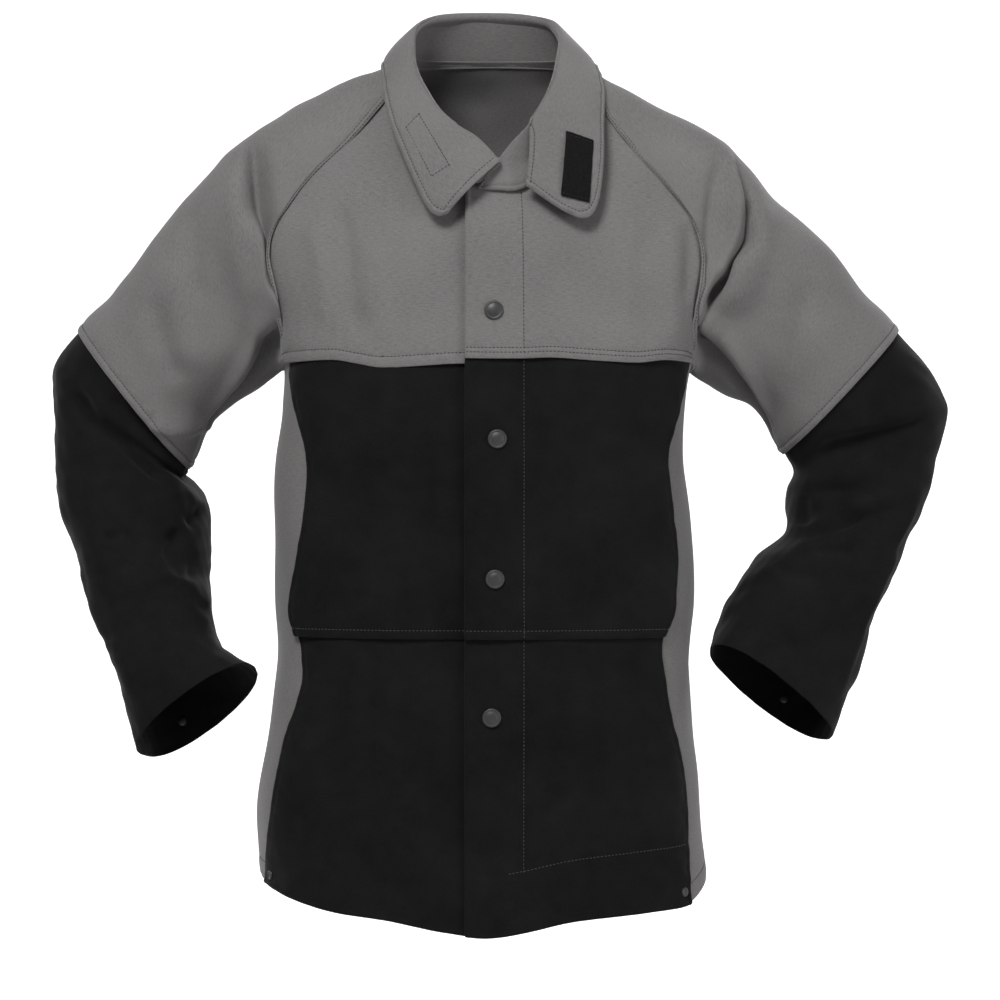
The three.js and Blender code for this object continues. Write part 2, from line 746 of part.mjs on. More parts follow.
/** The part of an arm between two distances, starting past the body's seam where it begins there. */
function armWall(arm, from, to, divisions, thickness) {
  const surface = (u, v) => {
    const angle = 360 * (u % 1);
    const start = from === 0 ? arm.gapShare(angle) : from;
    return arm.point(angle, lerp(start, to, v));
  };
  const wrapped = (u, v) => surface(THREE.MathUtils.euclideanModulo(u, 1), v);
  const outward = (p) => {
    const reach = arm.places.map((at) => arm.middle(at).distanceTo(p));
    const nearest = reach.indexOf(Math.min(...reach));
    return p.clone().sub(arm.middle(arm.places[nearest]));
  };
  return freeWall(wrapped, divisions, thickness, outward, true);
}

// Collar

/** The collar's fold, edge and foot as smooth curves of the station. */
function collarCurve(table, name, at) {
  return smooth(table.foot.map((_, i) => i), table[name], at);
}

/** The leaf at a station and the share of the way from its fold to its edge. */
function leafPoint(at, share) {
  const [fold, edge] = ['fold', 'edge'].map((end) => new THREE.Vector3(
    collarCurve(COLLAR, `${end}X`, at),
    collarCurve(COLLAR, `${end}Y`, at),
    collarCurve(COLLAR, `${end}Z`, at),
  ));
  const bulge = LEAF_BULGE * 4 * share * (1 - share);
  const point = fold.lerp(edge, share);
  return point.addScaledVector(overShoulders(point).normalize(), bulge);
}

const overShoulders = (p) => new THREE.Vector3(p.x, p.y - NECK.centreY, NECK.halfWidth / 2);
const fromNeck = (p) => new THREE.Vector3(p.x, p.y - NECK.centreY, 0);

/** The falling leaf of the collar with both wings. */
function leafSurface() {
  const stations = COLLAR.foot.length - 1;
  return (u, v) => leafPoint(u * stations, v);
}

/** The band that stands round the neck, from its right end to the left end that laps past it. */
function standSurface() {
  const names = COLLAR_NAMES.slice(0, 4);
  const whole = Object.fromEntries(names.map((name) => [name, [...COLLAR[name], ...STAND_END[name]]]));
  const stations = whole.foot.length - 1;
  return (u, v) => {
    const at = lerp(STAND_START, stations, u);
    const neck = neckPoint(collarCurve(whole, 'foot', at));
    const onLeftFront = at > stations / 2 && neck.y < NECK.centreY;
    const foot = onLeftFront ? leftFrontPoint(neck.x, neck.z) : neck;
    const fold = new THREE.Vector3(
      collarCurve(whole, 'foldX', at),
      collarCurve(whole, 'foldY', at),
      collarCurve(whole, 'foldZ', at),
    );
    const top = fold.addScaledVector(fromNeck(fold).normalize(), -STAND_INSET);
    const rise = top.clone().sub(foot);
    foot.addScaledVector(rise.normalize(), STAND_FOOT_GAP);
    return foot.lerp(top, v);
  };
}

/** The station and share at which the leaf has a given x and z, found from a station near it. */
function leafPlace(x, z, near) {
  const step = 0.001;
  let [at, share] = [near, 0.5];
  for (let pass = 0; pass < 12; pass += 1) {
    const here = leafPoint(at, share);
    const byStation = leafPoint(at + step, share).sub(here).divideScalar(step);
    const byShare = leafPoint(at, share + step).sub(here).divideScalar(step);
    const area = byStation.x * byShare.z - byStation.z * byShare.x;
    at += ((x - here.x) * byShare.z - (z - here.z) * byShare.x) / area;
    share += ((z - here.z) * byStation.x - (x - here.x) * byStation.z) / area;
  }
  return [at, share];
}

/** A patch sewn flat on the leaf: above it, or beneath it. */
function leafPatch(patch, beneath) {
  const lift = beneath ? -(COLLAR_THICKNESS + PATCH_GAP) : PATCH_THICKNESS + PATCH_GAP;
  const leaf = leafSurface();
  const stations = COLLAR.foot.length - 1;
  const between = (list, u, v) => lerp(lerp(list[0], list[1], u), lerp(list[3], list[2], u), v);
  return (u, v) => {
    const [at, share] = leafPlace(between(patch.x, u, v), between(patch.z, u, v), patch.station);
    const normal = facing(leaf, at / stations, share, overShoulders);
    return leafPoint(at, share).addScaledVector(normal, lift);
  };
}

// Fasteners

/** The body's surface and facing at x and z on the front. */
function frontSeat(x, z) {
  return { point: frontPoint(x, z), normal: torsoFacing(turnAt(x, z), z) };
}

/** A snap's cap: the dome outside, its post through the left front and the socket inside. */
function snapCap(thickness) {
  const cloth = [LAP_LIFT + COTTON_THICKNESS - thickness, LAP_LIFT + COTTON_THICKNESS];
  const dome = cloth[1] + FIT_GAP;
  const socket = cloth[0] - FIT_GAP;
  return turned([
    [0, socket - SNAP.flange],
    [SNAP.flangeRadius, socket - SNAP.flange],
    [SNAP.flangeRadius, socket],
    [SNAP.postRadius, socket],
    [SNAP.postRadius, dome],
    [SNAP.capRadius, dome],
    [SNAP.capRadius, dome + SNAP.capRim],
    [SNAP.capRadius * 0.8, dome + SNAP.capHeight * 0.78],
    [SNAP.capRadius * 0.45, dome + SNAP.capHeight],
    [0, dome + SNAP.capHeight],
  ]);
}

/** A snap's stud: the plate behind the right front, its post and the head that the socket takes. */
function snapStud(thickness) {
  const behind = -thickness - FIT_GAP;
  const ahead = FIT_GAP;
  return turned([
    [0, behind - STUD.plate],
    [STUD.plateRadius, behind - STUD.plate],
    [STUD.plateRadius, behind],
    [SNAP.postRadius, behind],
    [SNAP.postRadius, ahead],
    [STUD.collarRadius, ahead],
    [STUD.collarRadius, ahead + STUD.collar],
    [STUD.headRadius, ahead + STUD.collar],
    [STUD.headRadius, ahead + STUD.collar + STUD.head],
    [0, ahead + STUD.collar + STUD.head],
  ]);
}

/** A rivet or small snap through one wall: a head outside, a post and a head inside. */
function rivet(thickness, outerRadius, innerRadius) {
  const inside = -thickness - RIVET.standOff;
  return turned([
    [0, inside - RIVET.head],
    [innerRadius * 0.7, inside - RIVET.head],
    [innerRadius, inside],
    [RIVET.postRadius, inside],
    [RIVET.postRadius, RIVET.standOff],
    [outerRadius, RIVET.standOff],
    [outerRadius * 0.7, RIVET.standOff + RIVET.head],
    [0, RIVET.standOff + RIVET.head],
  ]);
}

// Assembly

const jacket = new THREE.Group();

/** Adds one named piece with its finish. */
function addPiece(name, geometry, finish) {
  const mesh = new THREE.Mesh(geometry, new THREE.MeshStandardMaterial(FINISH[finish]));
  mesh.name = name;
  jacket.add(mesh);
  return mesh;
}

/** Adds a fastener that stands on a seat, turned to face away from it. */
function addFastener(name, geometry, seat) {
  const mesh = addPiece(name, geometry, 'metal');
  mesh.position.copy(seat.point);
  mesh.quaternion.copy(uprightTo(seat.normal));
}

const holeRadius = SNAP.postRadius + POST_CLEARANCE;
const rivetHoleRadius = RIVET.postRadius + POST_CLEARANCE;
const snapSeats = SNAP_PLACES.map(({ x, z }) => frontSeat(x, z));
const clothAt = (z) => (z > YOKE_HEM_Z ? COTTON_THICKNESS : LEATHER_THICKNESS);
const seatsBetween = (topZ, bottomZ) => snapSeats.filter(({ point }) => point.z < topZ && point.z > bottomZ);

/** A seat on the flat facet of a divided front patch that holds a place across and along it. */
function facetSeat(patch, divisions, across, along) {
  const [u, v] = [across, along].map((share, k) => Math.floor(share * divisions[k]) / divisions[k]);
  const corner = (i, j) => frontPoint(...patch(u + i / divisions[0], v + j / divisions[1]));
  const [i, j] = [(across - u) * divisions[0], (along - v) * divisions[1]];
  const flat = (a, b) => corner(0, 0).lerp(corner(1, 0), a).lerp(corner(0, 1).lerp(corner(1, 1), a), b);
  return { point: flat(i, j), normal: facing(flat, i, j, (p) => new THREE.Vector3(p.x, p.y, 0)) };
}

for (const side of ['right', 'left']) {
  const upperTop = YOKE_HEM_Z - SEAM_GAP;
  const lowerTop = LEATHER_LAP_Z - SEAM_GAP;
  const lowerPatch = leatherPatch(side, lowerTop);
  const upperPatch = leatherPatch(side, upperTop, LEATHER_LAP_Z);
  const yoke = frontWall(side, yokePatch(side), DIVISIONS.yoke, COTTON_THICKNESS);
  const upper = frontWall(side, upperPatch, DIVISIONS.leather, LEATHER_THICKNESS);
  const lower = frontWall(side, lowerPatch, DIVISIONS.leather, LEATHER_THICKNESS);
  const hem = facetSeat(lowerPatch, DIVISIONS.leather, HEM_RIVET.across, HEM_RIVET.along);
  const lowerDrilled = pierced(lower, seatsBetween(lowerTop, HEM.z[0]), holeRadius);
  addPiece(`${side}_yoke`, pierced(yoke, seatsBetween(0, YOKE_HEM_Z), holeRadius), 'cotton');
  const upperDrilled = pierced(upper, seatsBetween(upperTop, LEATHER_LAP_Z), holeRadius);
  addPiece(`${side}_upper_leather`, upperDrilled, 'leather');
  addPiece(`${side}_lower_leather`, pierced(lowerDrilled, [hem], rivetHoleRadius), 'leather');
  addPiece(`${side}_side_panel`, torsoWall(sidePatch(side), DIVISIONS.side, COTTON_THICKNESS), 'cotton');
  addFastener(`${side}_hem_rivet`, rivet(LEATHER_THICKNESS, RIVET.headRadius, RIVET.headRadius), hem);

  const arm = armSurface(side);
  const elbow = arm.places[ELBOW_RING];
  const rim = arm.places[arm.places.length - 1];
  const upperArm = armWall(arm, 0, elbow - SEAM_GAP / 2, DIVISIONS.sleeve, COTTON_THICKNESS);
  const forearm = armWall(arm, elbow + SEAM_GAP / 2, rim, DIVISIONS.forearm, LEATHER_THICKNESS);
  const cuffAt = rim - CUFF_SNAP.fromRim;
  const { around, spread } = CUFF_SNAP;
  const cuffSurface = (u, v) => arm.point(around + spread * u, cuffAt + spread * v);
  const cuff = {
    point: arm.point(around, cuffAt),
    normal: facing(cuffSurface, 0, 0, (p) => p.clone().sub(arm.middle(cuffAt))),
  };
  addPiece(`${side}_sleeve`, upperArm, 'cotton');
  addPiece(`${side}_forearm`, pierced(forearm, [cuff], rivetHoleRadius), 'leather');
  addFastener(`${side}_cuff_snap`, rivet(LEATHER_THICKNESS, CUFF_SNAP.radius, RIVET.headRadius), cuff);
}

addPiece('back_panel', torsoWall(backPatch(), DIVISIONS.back, COTTON_THICKNESS), 'cotton');
addPiece('collar_stand', freeWall(standSurface(), DIVISIONS.stand, COLLAR_THICKNESS, fromNeck), 'cotton');
addPiece('collar_leaf', freeWall(leafSurface(), DIVISIONS.leaf, COLLAR_THICKNESS, overShoulders), 'cotton');
const collarPatches = [['loop_patch', LOOP_PATCH, false], ['hook_patch', HOOK_PATCH, true]];
for (const [name, patch, beneath] of collarPatches) {
  const surface = leafPatch(patch, beneath);
  addPiece(name, freeWall(surface, DIVISIONS.patch, PATCH_THICKNESS, overShoulders), 'loop');
}

snapSeats.forEach((seat, i) => {
  const thickness = clothAt(seat.point.z);
  addFastener(`snap_cap_${i + 1}`, snapCap(thickness), seat);
  addFastener(`snap_stud_${i + 1}`, snapStud(thickness), seat);
});

export default jacket;
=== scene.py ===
"""A welding jacket of grey cotton and black suede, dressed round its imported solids.

Every surface is a grid of points in millimetres, in the same frame as the solids: X to the wearer's
left, Y to the back and Z up. Lengths become metres when a mesh is written.
"""
import logging
import math
from dataclasses import dataclass, field, replace
from enum import Enum
from functools import reduce
from operator import add
from typing import Iterable, Sequence, Union

import bpy
import numpy as np
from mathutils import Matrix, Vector
from numpy.typing import ArrayLike, NDArray


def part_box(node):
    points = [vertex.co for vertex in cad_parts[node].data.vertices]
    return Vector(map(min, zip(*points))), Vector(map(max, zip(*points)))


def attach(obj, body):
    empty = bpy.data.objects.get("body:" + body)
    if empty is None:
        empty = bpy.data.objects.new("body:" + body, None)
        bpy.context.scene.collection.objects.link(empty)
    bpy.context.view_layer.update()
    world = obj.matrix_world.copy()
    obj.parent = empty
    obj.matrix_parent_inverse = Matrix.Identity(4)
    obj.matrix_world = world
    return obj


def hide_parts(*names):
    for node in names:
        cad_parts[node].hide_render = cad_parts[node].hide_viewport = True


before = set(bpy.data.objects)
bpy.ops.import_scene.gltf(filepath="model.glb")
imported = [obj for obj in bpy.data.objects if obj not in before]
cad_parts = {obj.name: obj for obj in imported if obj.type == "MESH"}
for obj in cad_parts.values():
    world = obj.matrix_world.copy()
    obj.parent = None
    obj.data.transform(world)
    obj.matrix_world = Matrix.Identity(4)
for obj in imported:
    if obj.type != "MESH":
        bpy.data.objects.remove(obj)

Array = NDArray[np.float64]
Indices = NDArray[np.int64]
Value = Union["Signal", float, Sequence[float]]

log = logging.getLogger("jacket")
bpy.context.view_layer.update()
MM = 0.001
UV_NAME = "cloth"


class Side(Enum):
    """The wearer's two sides, by their sign along X."""

    RIGHT = -1
    LEFT = 1

    @property
    def word(self) -> str:
        """The side's name in piece names."""
        return self.name.lower()


class Edge(Enum):
    """The four edges of a cloth's grid: its first and last row, and its first and last column."""

    TOP = "top"
    BOTTOM = "bottom"
    START = "start"
    END = "end"


class Level(Enum):
    """The three panels of a front, from the neck to the hem."""

    YOKE = "yoke"
    UPPER = "upper"
    LOWER = "lower"


class Slot(Enum):
    """The record's material slots."""

    COTTON = "cotton"
    LEATHER = "leather"
    HOOK_AND_LOOP = "hook_and_loop"
    GUNMETAL = "gunmetal"


class Held(Enum):
    """How a sheet is held."""

    DRAPED = "draped"
    HUNG = "hung"
    FOLDED = "folded"
    LAID = "laid"


# Cloth sizes, in millimetres

COTTON = 1.2
LEATHER = 1.6
COLLAR_CLOTH = 2.4
PATCH = 1.5
PATCH_GAP = 0.5

# Places on the body

FRONT_EDGE_X = -23.0
UNDER_EDGE_X = 27.0
YOKE_HEM_Z = -250.0
LEATHER_LAP_Z = -495.0
ARMPIT_Z = -250.0
UNDERARM_GAP = 1.4
SIDE_SEAM_TURN = 100.0
GAP_TURN = 0.45
RAGLAN_FRONT_ANGLE = 75.0
RAGLAN_BACK_ANGLE = 125.0
NECK_RIDGE_ANGLE = 95.0

# Sections of the torso: z, half width right and left, half depth front and back, squareness
TORSO = (
    (-800, 214, 200, 134, 122, 0.25),
    (-720, 214, 197, 134, 120, 0.25),
    (-650, 215, 191, 134, 115, 0.25),
    (-530, 197, 182, 134, 108, 0.25),
    (-470, 199, 186, 134, 110, 0.25),
    (-400, 200, 183, 134, 113, 0.25),
    (-340, 198, 176, 133, 117, 0.28),
    (-290, 191, 177, 132, 119, 0.36),
    (-250, 190, 183, 130, 120, 0.38),
    (-150, 228, 220, 115, 118, 0.2),
    (-100, 218, 212, 95, 113, 0.2),
    (-60, 205, 200, 76, 105, 0.2),
    (-20, 180, 180, 54, 92, 0.2),
    (5, 125, 125, 38, 82, 0.2),
    (20, 84, 84, 24, 73, 0.2),
    (30, 70, 70, 15, 66, 0.2),
    (45, 55, 55, 5, 55, 0.2),
)

# The hem: turn from the centre front in degrees, z
HEM = (
    (-180, -735),
    (-110, -724),
    (-90, -720),
    (-71, -722),
    (-50, -731),
    (-34, -741),
    (-21, -747),
    (-9, -757),
    (0, -761),
    (17, -748),
    (36, -742),
    (57, -738),
    (75, -726),
    (90, -721),
    (110, -724),
    (180, -735),
)

# The outer edge of the leather: z, x on the right, x on the left
LEATHER_EDGE = (
    (-760, -210, 180),
    (-640, -196, 173),
    (-540, -171, 155),
    (-505, -172, 151),
    (-470, -180, 162),
    (-430, -175, 166),
    (-380, -166, 160),
    (-330, -165, 157),
    (-290, -176, 168),
    (-250, -184, 178),
)

# The raglan seam on the front, as x and z, for each side
RAGLAN_FRONT = {
    Side.RIGHT: ((-81, 5), (-122, -45), (-163, -85), (-190, -120), (-199, -151), (-190, -195),
                 (-184, -250)),
    Side.LEFT: ((81, 5), (119, -49), (157, -93), (180, -124), (188, -158), (181, -205), (178, -250)),
}

# The raglan seam on the back, as x from the middle and z
RAGLAN_BACK = ((69, 26), (90, 5), (120, -28), (152, -72), (176, -115), (186, -160), (180, -205),
               (174, -250))

# Rings of an arm: outer x and z, inner x and z, middle y, half depth, rake and sweep of the front
ARM_RINGS = {
    Side.RIGHT: (
        (-223, -44, -195, -260, 6, 81, 0, 18),
        (-266, -83, -213, -275, 13, 78, 0, 6),
        (-311, -134, -238, -290, 20, 76, 0, 0),
        (-345, -178, -260, -307, 28, 74, 0, 0),
        (-382, -221, -281, -348, 36, 72, 0, 0),
        (-406, -251, -285, -358, 40, 70, 0, 0),
        (-409, -274, -273, -369, 40, 68, 0, 0),
        (-405, -313, -264, -383, 36, 66, 0, 0),
        (-402, -380, -261, -414, 24, 64, 0, 0),
        (-382, -430, -260, -455, 8, 62, 4, 0),
        (-357, -504, -255, -492, -12, 60, 8, 0),
        (-341, -545, -244, -512, -26, 58, 14, 0),
        (-320, -608, -217, -528, -40, 56, 22, 0),
    ),
    Side.LEFT: (
        (213, -51, 190, -262, 5, 80, 0, 18),
        (264, -102, 215, -279, 12, 78, 0, 6),
        (315, -150, 238, -291, 20, 76, 0, 0),
        (345, -184, 254, -309, 28, 74, 0, 0),
        (375, -221, 270, -334, 36, 72, 0, 0),
        (405, -254, 280, -352, 40, 70, 0, 0),
        (421, -290, 275, -368, 40, 68, 0, 0),
        (412, -330, 273, -384, 36, 66, 0, 0),
        (401, -377, 272, -408, 26, 64, 0, 0),
        (382, -420, 246, -430, 14, 62, 4, 0),
        (346, -503, 220, -466, -6, 60, 8, 0),
        (327, -551, 209, -489, -20, 58, 12, 0),
        (307, -593, 201, -508, -35, 56, 18, 0),
    ),
}

# Creases that press into the arms: start x and z, end x and z, width, depth
ARM_CREASES = (
    (-221, -66, -192, -235, 15, 12),
    (222, -72, 184, -235, 15, 12),
    (-385, -275, -300, -345, 16, 7),
    (410, -318, 300, -336, 16, 7),
    (-300, -425, -262, -385, 14, 5),
    (330, -372, 275, -402, 14, 6),
)

# Stations of the collar: angle of its foot round the neck, its fold and its outer edge
COLLAR = (
    (-2, 5, -109, -72, -40, -119, -118),
    (-7, -6, -103, -60, -49, -119, -119),
    (-14, -17, -95, -49, -58, -116, -110),
    (-24, -34, -87, -37, -70, -106, -85),
    (-34, -48, -77, -25, -81, -93, -60),
    (-45, -60, -64, -8, -90, -78, -38),
    (-57, -71, -46, 13, -98, -52, -6),
    (-72, -76, -24, 38, -101, -10, 18),
    (-92, -74, 6, 56, -98, 36, 22),
    (-118, -60, 38, 68, -81, 76, 17),
    (-148, -32, 58, 73, -45, 98, 12),
    (-180, 0, 64, 74, 0, 104, 8),
    (-212, 32, 57, 72, 45, 97, 12),
    (-240, 56, 38, 66, 79, 75, 15),
    (-262, 64, 12, 55, 91, 33, 19),
    (-277, 66, -14, 42, 97, -10, 17),
    (-290, 63, -34, 26, 101, -47, -8),
    (-304, 59, -53, 8, 100, -78, -40),
    (-316, 53, -68, -8, 99, -98, -75),
    (-324, 47, -79, -19, 94, -112, -108),
    (-331, 42, -87, -27, 84, -119, -121),
    (-337, 38, -93, -33, 64, -120, -115),
    (-342, 35, -98, -39, 31, -114, -93),
)

# The stand's left end, past the leaf: angle of its foot and its top
STAND_END = ((-350, 20, -101, -54), (-359, 5, -103, -72), (-366, -9, -104, -86))


# Curves and arrays


def lerp(low: ArrayLike, high: ArrayLike, share: ArrayLike) -> Array:
    """The point that lies a share of the way from low to high."""
    return np.asarray(low) + (np.asarray(high) - np.asarray(low)) * share


def smoothstep(value: ArrayLike, low: float, high: float) -> Array:
    """Rises from 0 at low to 1 at high, flat at both ends: t squared times (3 - 2 t)."""
    t = np.clip((np.asarray(value) - low) / (high - low), 0, 1)
    return t * t * (3 - 2 * t)


def unit(vectors: Array) -> Array:
    """Each vector divided by its length."""
    return vectors / np.linalg.norm(vectors, axis=-1, keepdims=True)


def stack(*parts: ArrayLike) -> Array:
    """Coordinates put together as points, on a last axis."""
    return np.stack(np.broadcast_arrays(*parts), axis=-1).astype(float)


def cubic_weights(t: Array) -> tuple[Array, Array, Array, Array]:
    """The weights of both end values and both end slopes in a cubic between two ends.

    Args:
        t: Shares of the way between the ends.

    Returns:
        The weights of the first and last value, then of the first and last slope.
    """
    square = t * t
    cube = square * t
    return 2 * cube - 3 * square + 1, 3 * square - 2 * cube, cube - 2 * square + t, cube - square


class Track:
    """A smooth curve through a table: a cubic between rows, with slopes along the neighbours' chords."""

    def __init__(self, places: ArrayLike, rows: ArrayLike) -> None:
        """Keeps the rows and works out their slopes.

        Args:
            places: Rising places of the rows.
            rows: A row of values for each place.
        """
        self.places = np.asarray(places, float)
        self.rows = np.asarray(rows, float)
        last = len(self.places) - 1
        ahead = np.minimum(np.arange(last + 1) + 1, last)
        behind = np.maximum(np.arange(last + 1) - 1, 0)
        run = self.places[ahead] - self.places[behind]
        self.slopes = (self.rows[ahead] - self.rows[behind]) / run[:, None]

    @classmethod
    def by_column(cls, table: ArrayLike) -> "Track":
        """A curve through a table whose first column holds the places."""
        cells = np.asarray(table, float)
        return cls(cells[:, 0], cells[:, 1:])

    @classmethod
    def through(cls, points: ArrayLike) -> "Track":
        """A curve through listed points, by the share of its chord length.

        Args:
            points: The points, in turn.

        Returns:
            The curve.
        """
        cells = np.asarray(points, float)
        lengths = run_lengths(cells)
        return cls(lengths / lengths[-1], cells)

    def at(self, where: ArrayLike) -> Array:
        """The values at some places.

        Args:
            where: Places of any shape, held within the table's range.

        Returns:
            The values, on a new last axis.
        """
        spot = np.asarray(where, float)
        i = np.clip(np.searchsorted(self.places, spot) - 1, 0, len(self.places) - 2)
        step = (self.places[i + 1] - self.places[i])[..., None]
        t = np.clip((spot - self.places[i])[..., None] / step, 0, 1)
        w = cubic_weights(t)
        ends = w[0] * self.rows[i] + w[1] * self.rows[i + 1]
        return ends + step * (w[2] * self.slopes[i] + w[3] * self.slopes[i + 1])


def graded(length: float, fine: float = 1.2, coarse: float = 2.8, band: float = 13.0) -> Array:
    """Shares of a length in fine steps near both ends and coarse ones between.

    Args:
        length: The length that is divided.
        fine: The step within the bands.
        coarse: The step between the bands.
        band: The length of each end band.

    Returns:
        Rising shares from 0 to 1.
    """
    start = np.linspace(0, band, round(band / fine), endpoint=False)
    middle = np.linspace(band, length - band, round((length - 2 * band) / coarse), endpoint=False)
    end = np.linspace(length - band, length, round(band / fine) + 1)
    return np.concatenate([start, middle, end]) / length


def patch_between(top: Array, bottom: Array, start: Array, end: Array, u: Array, v: Array) -> Array:
    """A patch between four edges: both ruled surfaces added, less the flat one through the corners.

    Args:
        top: The first row's places.
        bottom: The last row's places.
        start: The first column's places.
        end: The last column's places.
        u: The columns' shares.
        v: The rows' shares.

    Returns:
        A grid of places, rows first.
    """
    u, v = u[None, :, None], v[:, None, None]
    ruled = lerp(top[None], bottom[None], v) + lerp(start[:, None], end[:, None], u)
    level = lerp(lerp(top[0], top[-1], u), lerp(bottom[0], bottom[-1], u), v)
    return ruled - level


def straight(first: ArrayLike, last: ArrayLike, shares: Array) -> Array:
    """Places along a straight edge at some shares."""
    return lerp(np.asarray(first, float), np.asarray(last, float), shares[:, None])


def run_lengths(route: Array) -> Array:
    """Each point's distance from the first one, along the chords."""
    return np.pad(np.cumsum(np.linalg.norm(np.diff(route, axis=0), axis=1)), (1, 0))


def beside(route: Array, distance: float) -> Array:
    """A plane route moved square to itself: each point goes along its tangent turned a quarter."""
    tangent = unit(np.gradient(route, axis=0))
    return route + distance * stack(-tangent[:, 1], tangent[:, 0])


def waves(points: Array, lengths: tuple[float, float], seed: int, count: int = 14) -> Array:
    """Unevenness about 1 high: a sum of plane waves in space with drawn directions and phases.

    Args:
        points: Where it is wanted.
        lengths: The shortest and longest wave.
        seed: The seed of the draws.
        count: How many waves are added.

    Returns:
        A height for each point.
    """
    draw = np.random.default_rng(seed)
    directions = unit(draw.normal(size=(count, 3)))
    steps = 2 * np.pi / draw.uniform(*lengths, count)
    phases = draw.uniform(0, 2 * np.pi, count)
    return np.sin(points @ (directions * steps[:, None]).T + phases).sum(axis=-1) * math.sqrt(2 / count)


# The body's form


class Body:
    """The form that the jacket hangs on: the torso's surface, the neck, the hem and the seams on it."""

    NECK_HALF_WIDTH = 84.0
    NECK_CENTRE_Y = -12.0
    NECK_HALF_DEPTH = 80.0
    NECK_SIDE_Z = 20.0
    NECK_FRONT_Z = -93.0
    NECK_BACK_Z = 30.0
    NECK_FALL = 1.5
    LAP_LIFT = 4.0
    LAP_FLAT_X = 32.0
    LAP_END_X = 84.0
    NEWTON_STEPS = 8

    def __init__(self) -> None:
        """Turns the tables into curves."""
        self.sections = Track.by_column(TORSO)
        self.hem = Track.by_column(HEM)
        self.leather_edge = Track.by_column(LEATHER_EDGE)
        self.hem_front_z = dict(HEM)[0]

    def point(self, turn: ArrayLike, z: ArrayLike) -> Array:
        """The surface at a turn from the centre front and a height.

        With s and c the sine and cosine of the turn and q the squareness, x is the half width times
        s (1 + q c squared), and y is less the half depth times c (1 + q s squared).

        Args:
            turn: Turns in degrees, to the left.
            z: Heights.

        Returns:
            Points.
        """
        turn, z = np.broadcast_arrays(np.asarray(turn, float), np.asarray(z, float))
        right, left, front, back, square = np.moveaxis(self.sections.at(z), -1, 0)
        s, c = np.sin(np.radians(turn)), np.cos(np.radians(turn))
        width = np.where(s < 0, right, left)
        depth = np.where(c < 0, back, front)
        return stack(width * s * (1 + square * c * c), -depth * c * (1 + square * s * s), z)

    def facing(self, turn: Array, z: Array, step: float = 0.5) -> Array:
        """The way the surface faces: its run round the body crossed with its run up.

        Args:
            turn: Turns in degrees.
            z: Heights.
            step: Half of each run, in degrees and in millimetres.

        Returns:
            Unit vectors.
        """
        around = self.point(turn + step, z) - self.point(turn - step, z)
        up = self.point(turn, z + step) - self.point(turn, z - step)
        return unit(np.cross(around, up))

    def turn_at(self, x: ArrayLike, z: ArrayLike) -> Array:
        """The turn at which the front has a given x, by Newton's method on the sine.

        Args:
            x: Places across.
            z: Heights.

        Returns:
            Turns in degrees.
        """
        x, z = np.broadcast_arrays(np.asarray(x, float), np.asarray(z, float))
        right, left, _, _, square = np.moveaxis(self.sections.at(z), -1, 0)
        share = np.minimum(np.abs(x) / np.where(x < 0, right, left), 1)
        s = share
        for _ in range(self.NEWTON_STEPS):
            s = s - (s * (1 + square * (1 - s * s)) - share) / (1 + square * (1 - 3 * s * s))
        return np.sign(x) * np.degrees(np.arcsin(np.clip(s, 0, 1)))

    def back_turn_at(self, x: ArrayLike, z: ArrayLike) -> Array:
        """The turn at which the back has a given x."""
        return np.sign(x) * 180 - self.turn_at(x, z)

    def front(self, x: ArrayLike, z: ArrayLike) -> Array:
        """The front at x and z."""
        return self.point(self.turn_at(x, z), z)

    def lap(self, x: ArrayLike) -> Array:
        """How far the left front stands off the body, so that it clears the right front."""
        return (self.LAP_LIFT + COTTON) * (1 - smoothstep(x, self.LAP_FLAT_X, self.LAP_END_X))

    def neck(self, angle: ArrayLike) -> Array:
        """The neck opening's edge: an ellipse from above that falls to the throat.

        Args:
            angle: Angles from the centre front in degrees.

        Returns:
            Points on the body at the front and the back, and on a level bow at the sides.
        """
        angle = np.asarray(angle, float)
        c = np.cos(np.radians(angle))
        x = self.NECK_HALF_WIDTH * np.sin(np.radians(angle))
        fall = lerp(self.NECK_SIDE_Z, self.NECK_FRONT_Z, np.maximum(c, 0) ** self.NECK_FALL)
        z = np.where(c > 0, fall, lerp(self.NECK_SIDE_Z, self.NECK_BACK_Z, -c))
        away = np.abs((angle + 180) % 360 - 180)
        bow = stack(x, self.NECK_CENTRE_Y - self.NECK_HALF_DEPTH * c, z)
        behind = self.point(self.back_turn_at(x, z), z)
        ahead = self.front(x, z)
        sides = np.where((away >= RAGLAN_BACK_ANGLE)[..., None], behind, bow)
        return np.where((away <= RAGLAN_FRONT_ANGLE)[..., None], ahead, sides)

    def hem_z(self, turn: ArrayLike) -> Array:
        """The hem's height at a turn."""
        return self.hem.at(turn)[..., 0]

    def front_hem_z(self, x: ArrayLike) -> Array:
        """The hem's height at x on the front."""
        return self.hem_z(self.turn_at(x, self.hem_front_z))

    def leather_x(self, side: Side, z: ArrayLike) -> Array:
        """The outer edge of the leather at a height."""
        return self.leather_edge.at(z)[..., 0 if side is Side.RIGHT else 1]

    def leather_foot(self, side: Side) -> tuple[float, float]:
        """Where the leather's outer edge meets the hem, by two steps from the lap seam.

        Args:
            side: The side.

        Returns:
            Its x and z.
        """
        near = self.front_hem_z(self.leather_x(side, LEATHER_LAP_Z))
        z = float(self.front_hem_z(self.leather_x(side, near)))
        return float(self.leather_x(side, z)), z

    def raglan_back(self, side: Side, shares: ArrayLike) -> Array:
        """The raglan seam on the back of one side, as x and z."""
        return Track.through([(side.value * x, z) for x, z in RAGLAN_BACK]).at(shares)

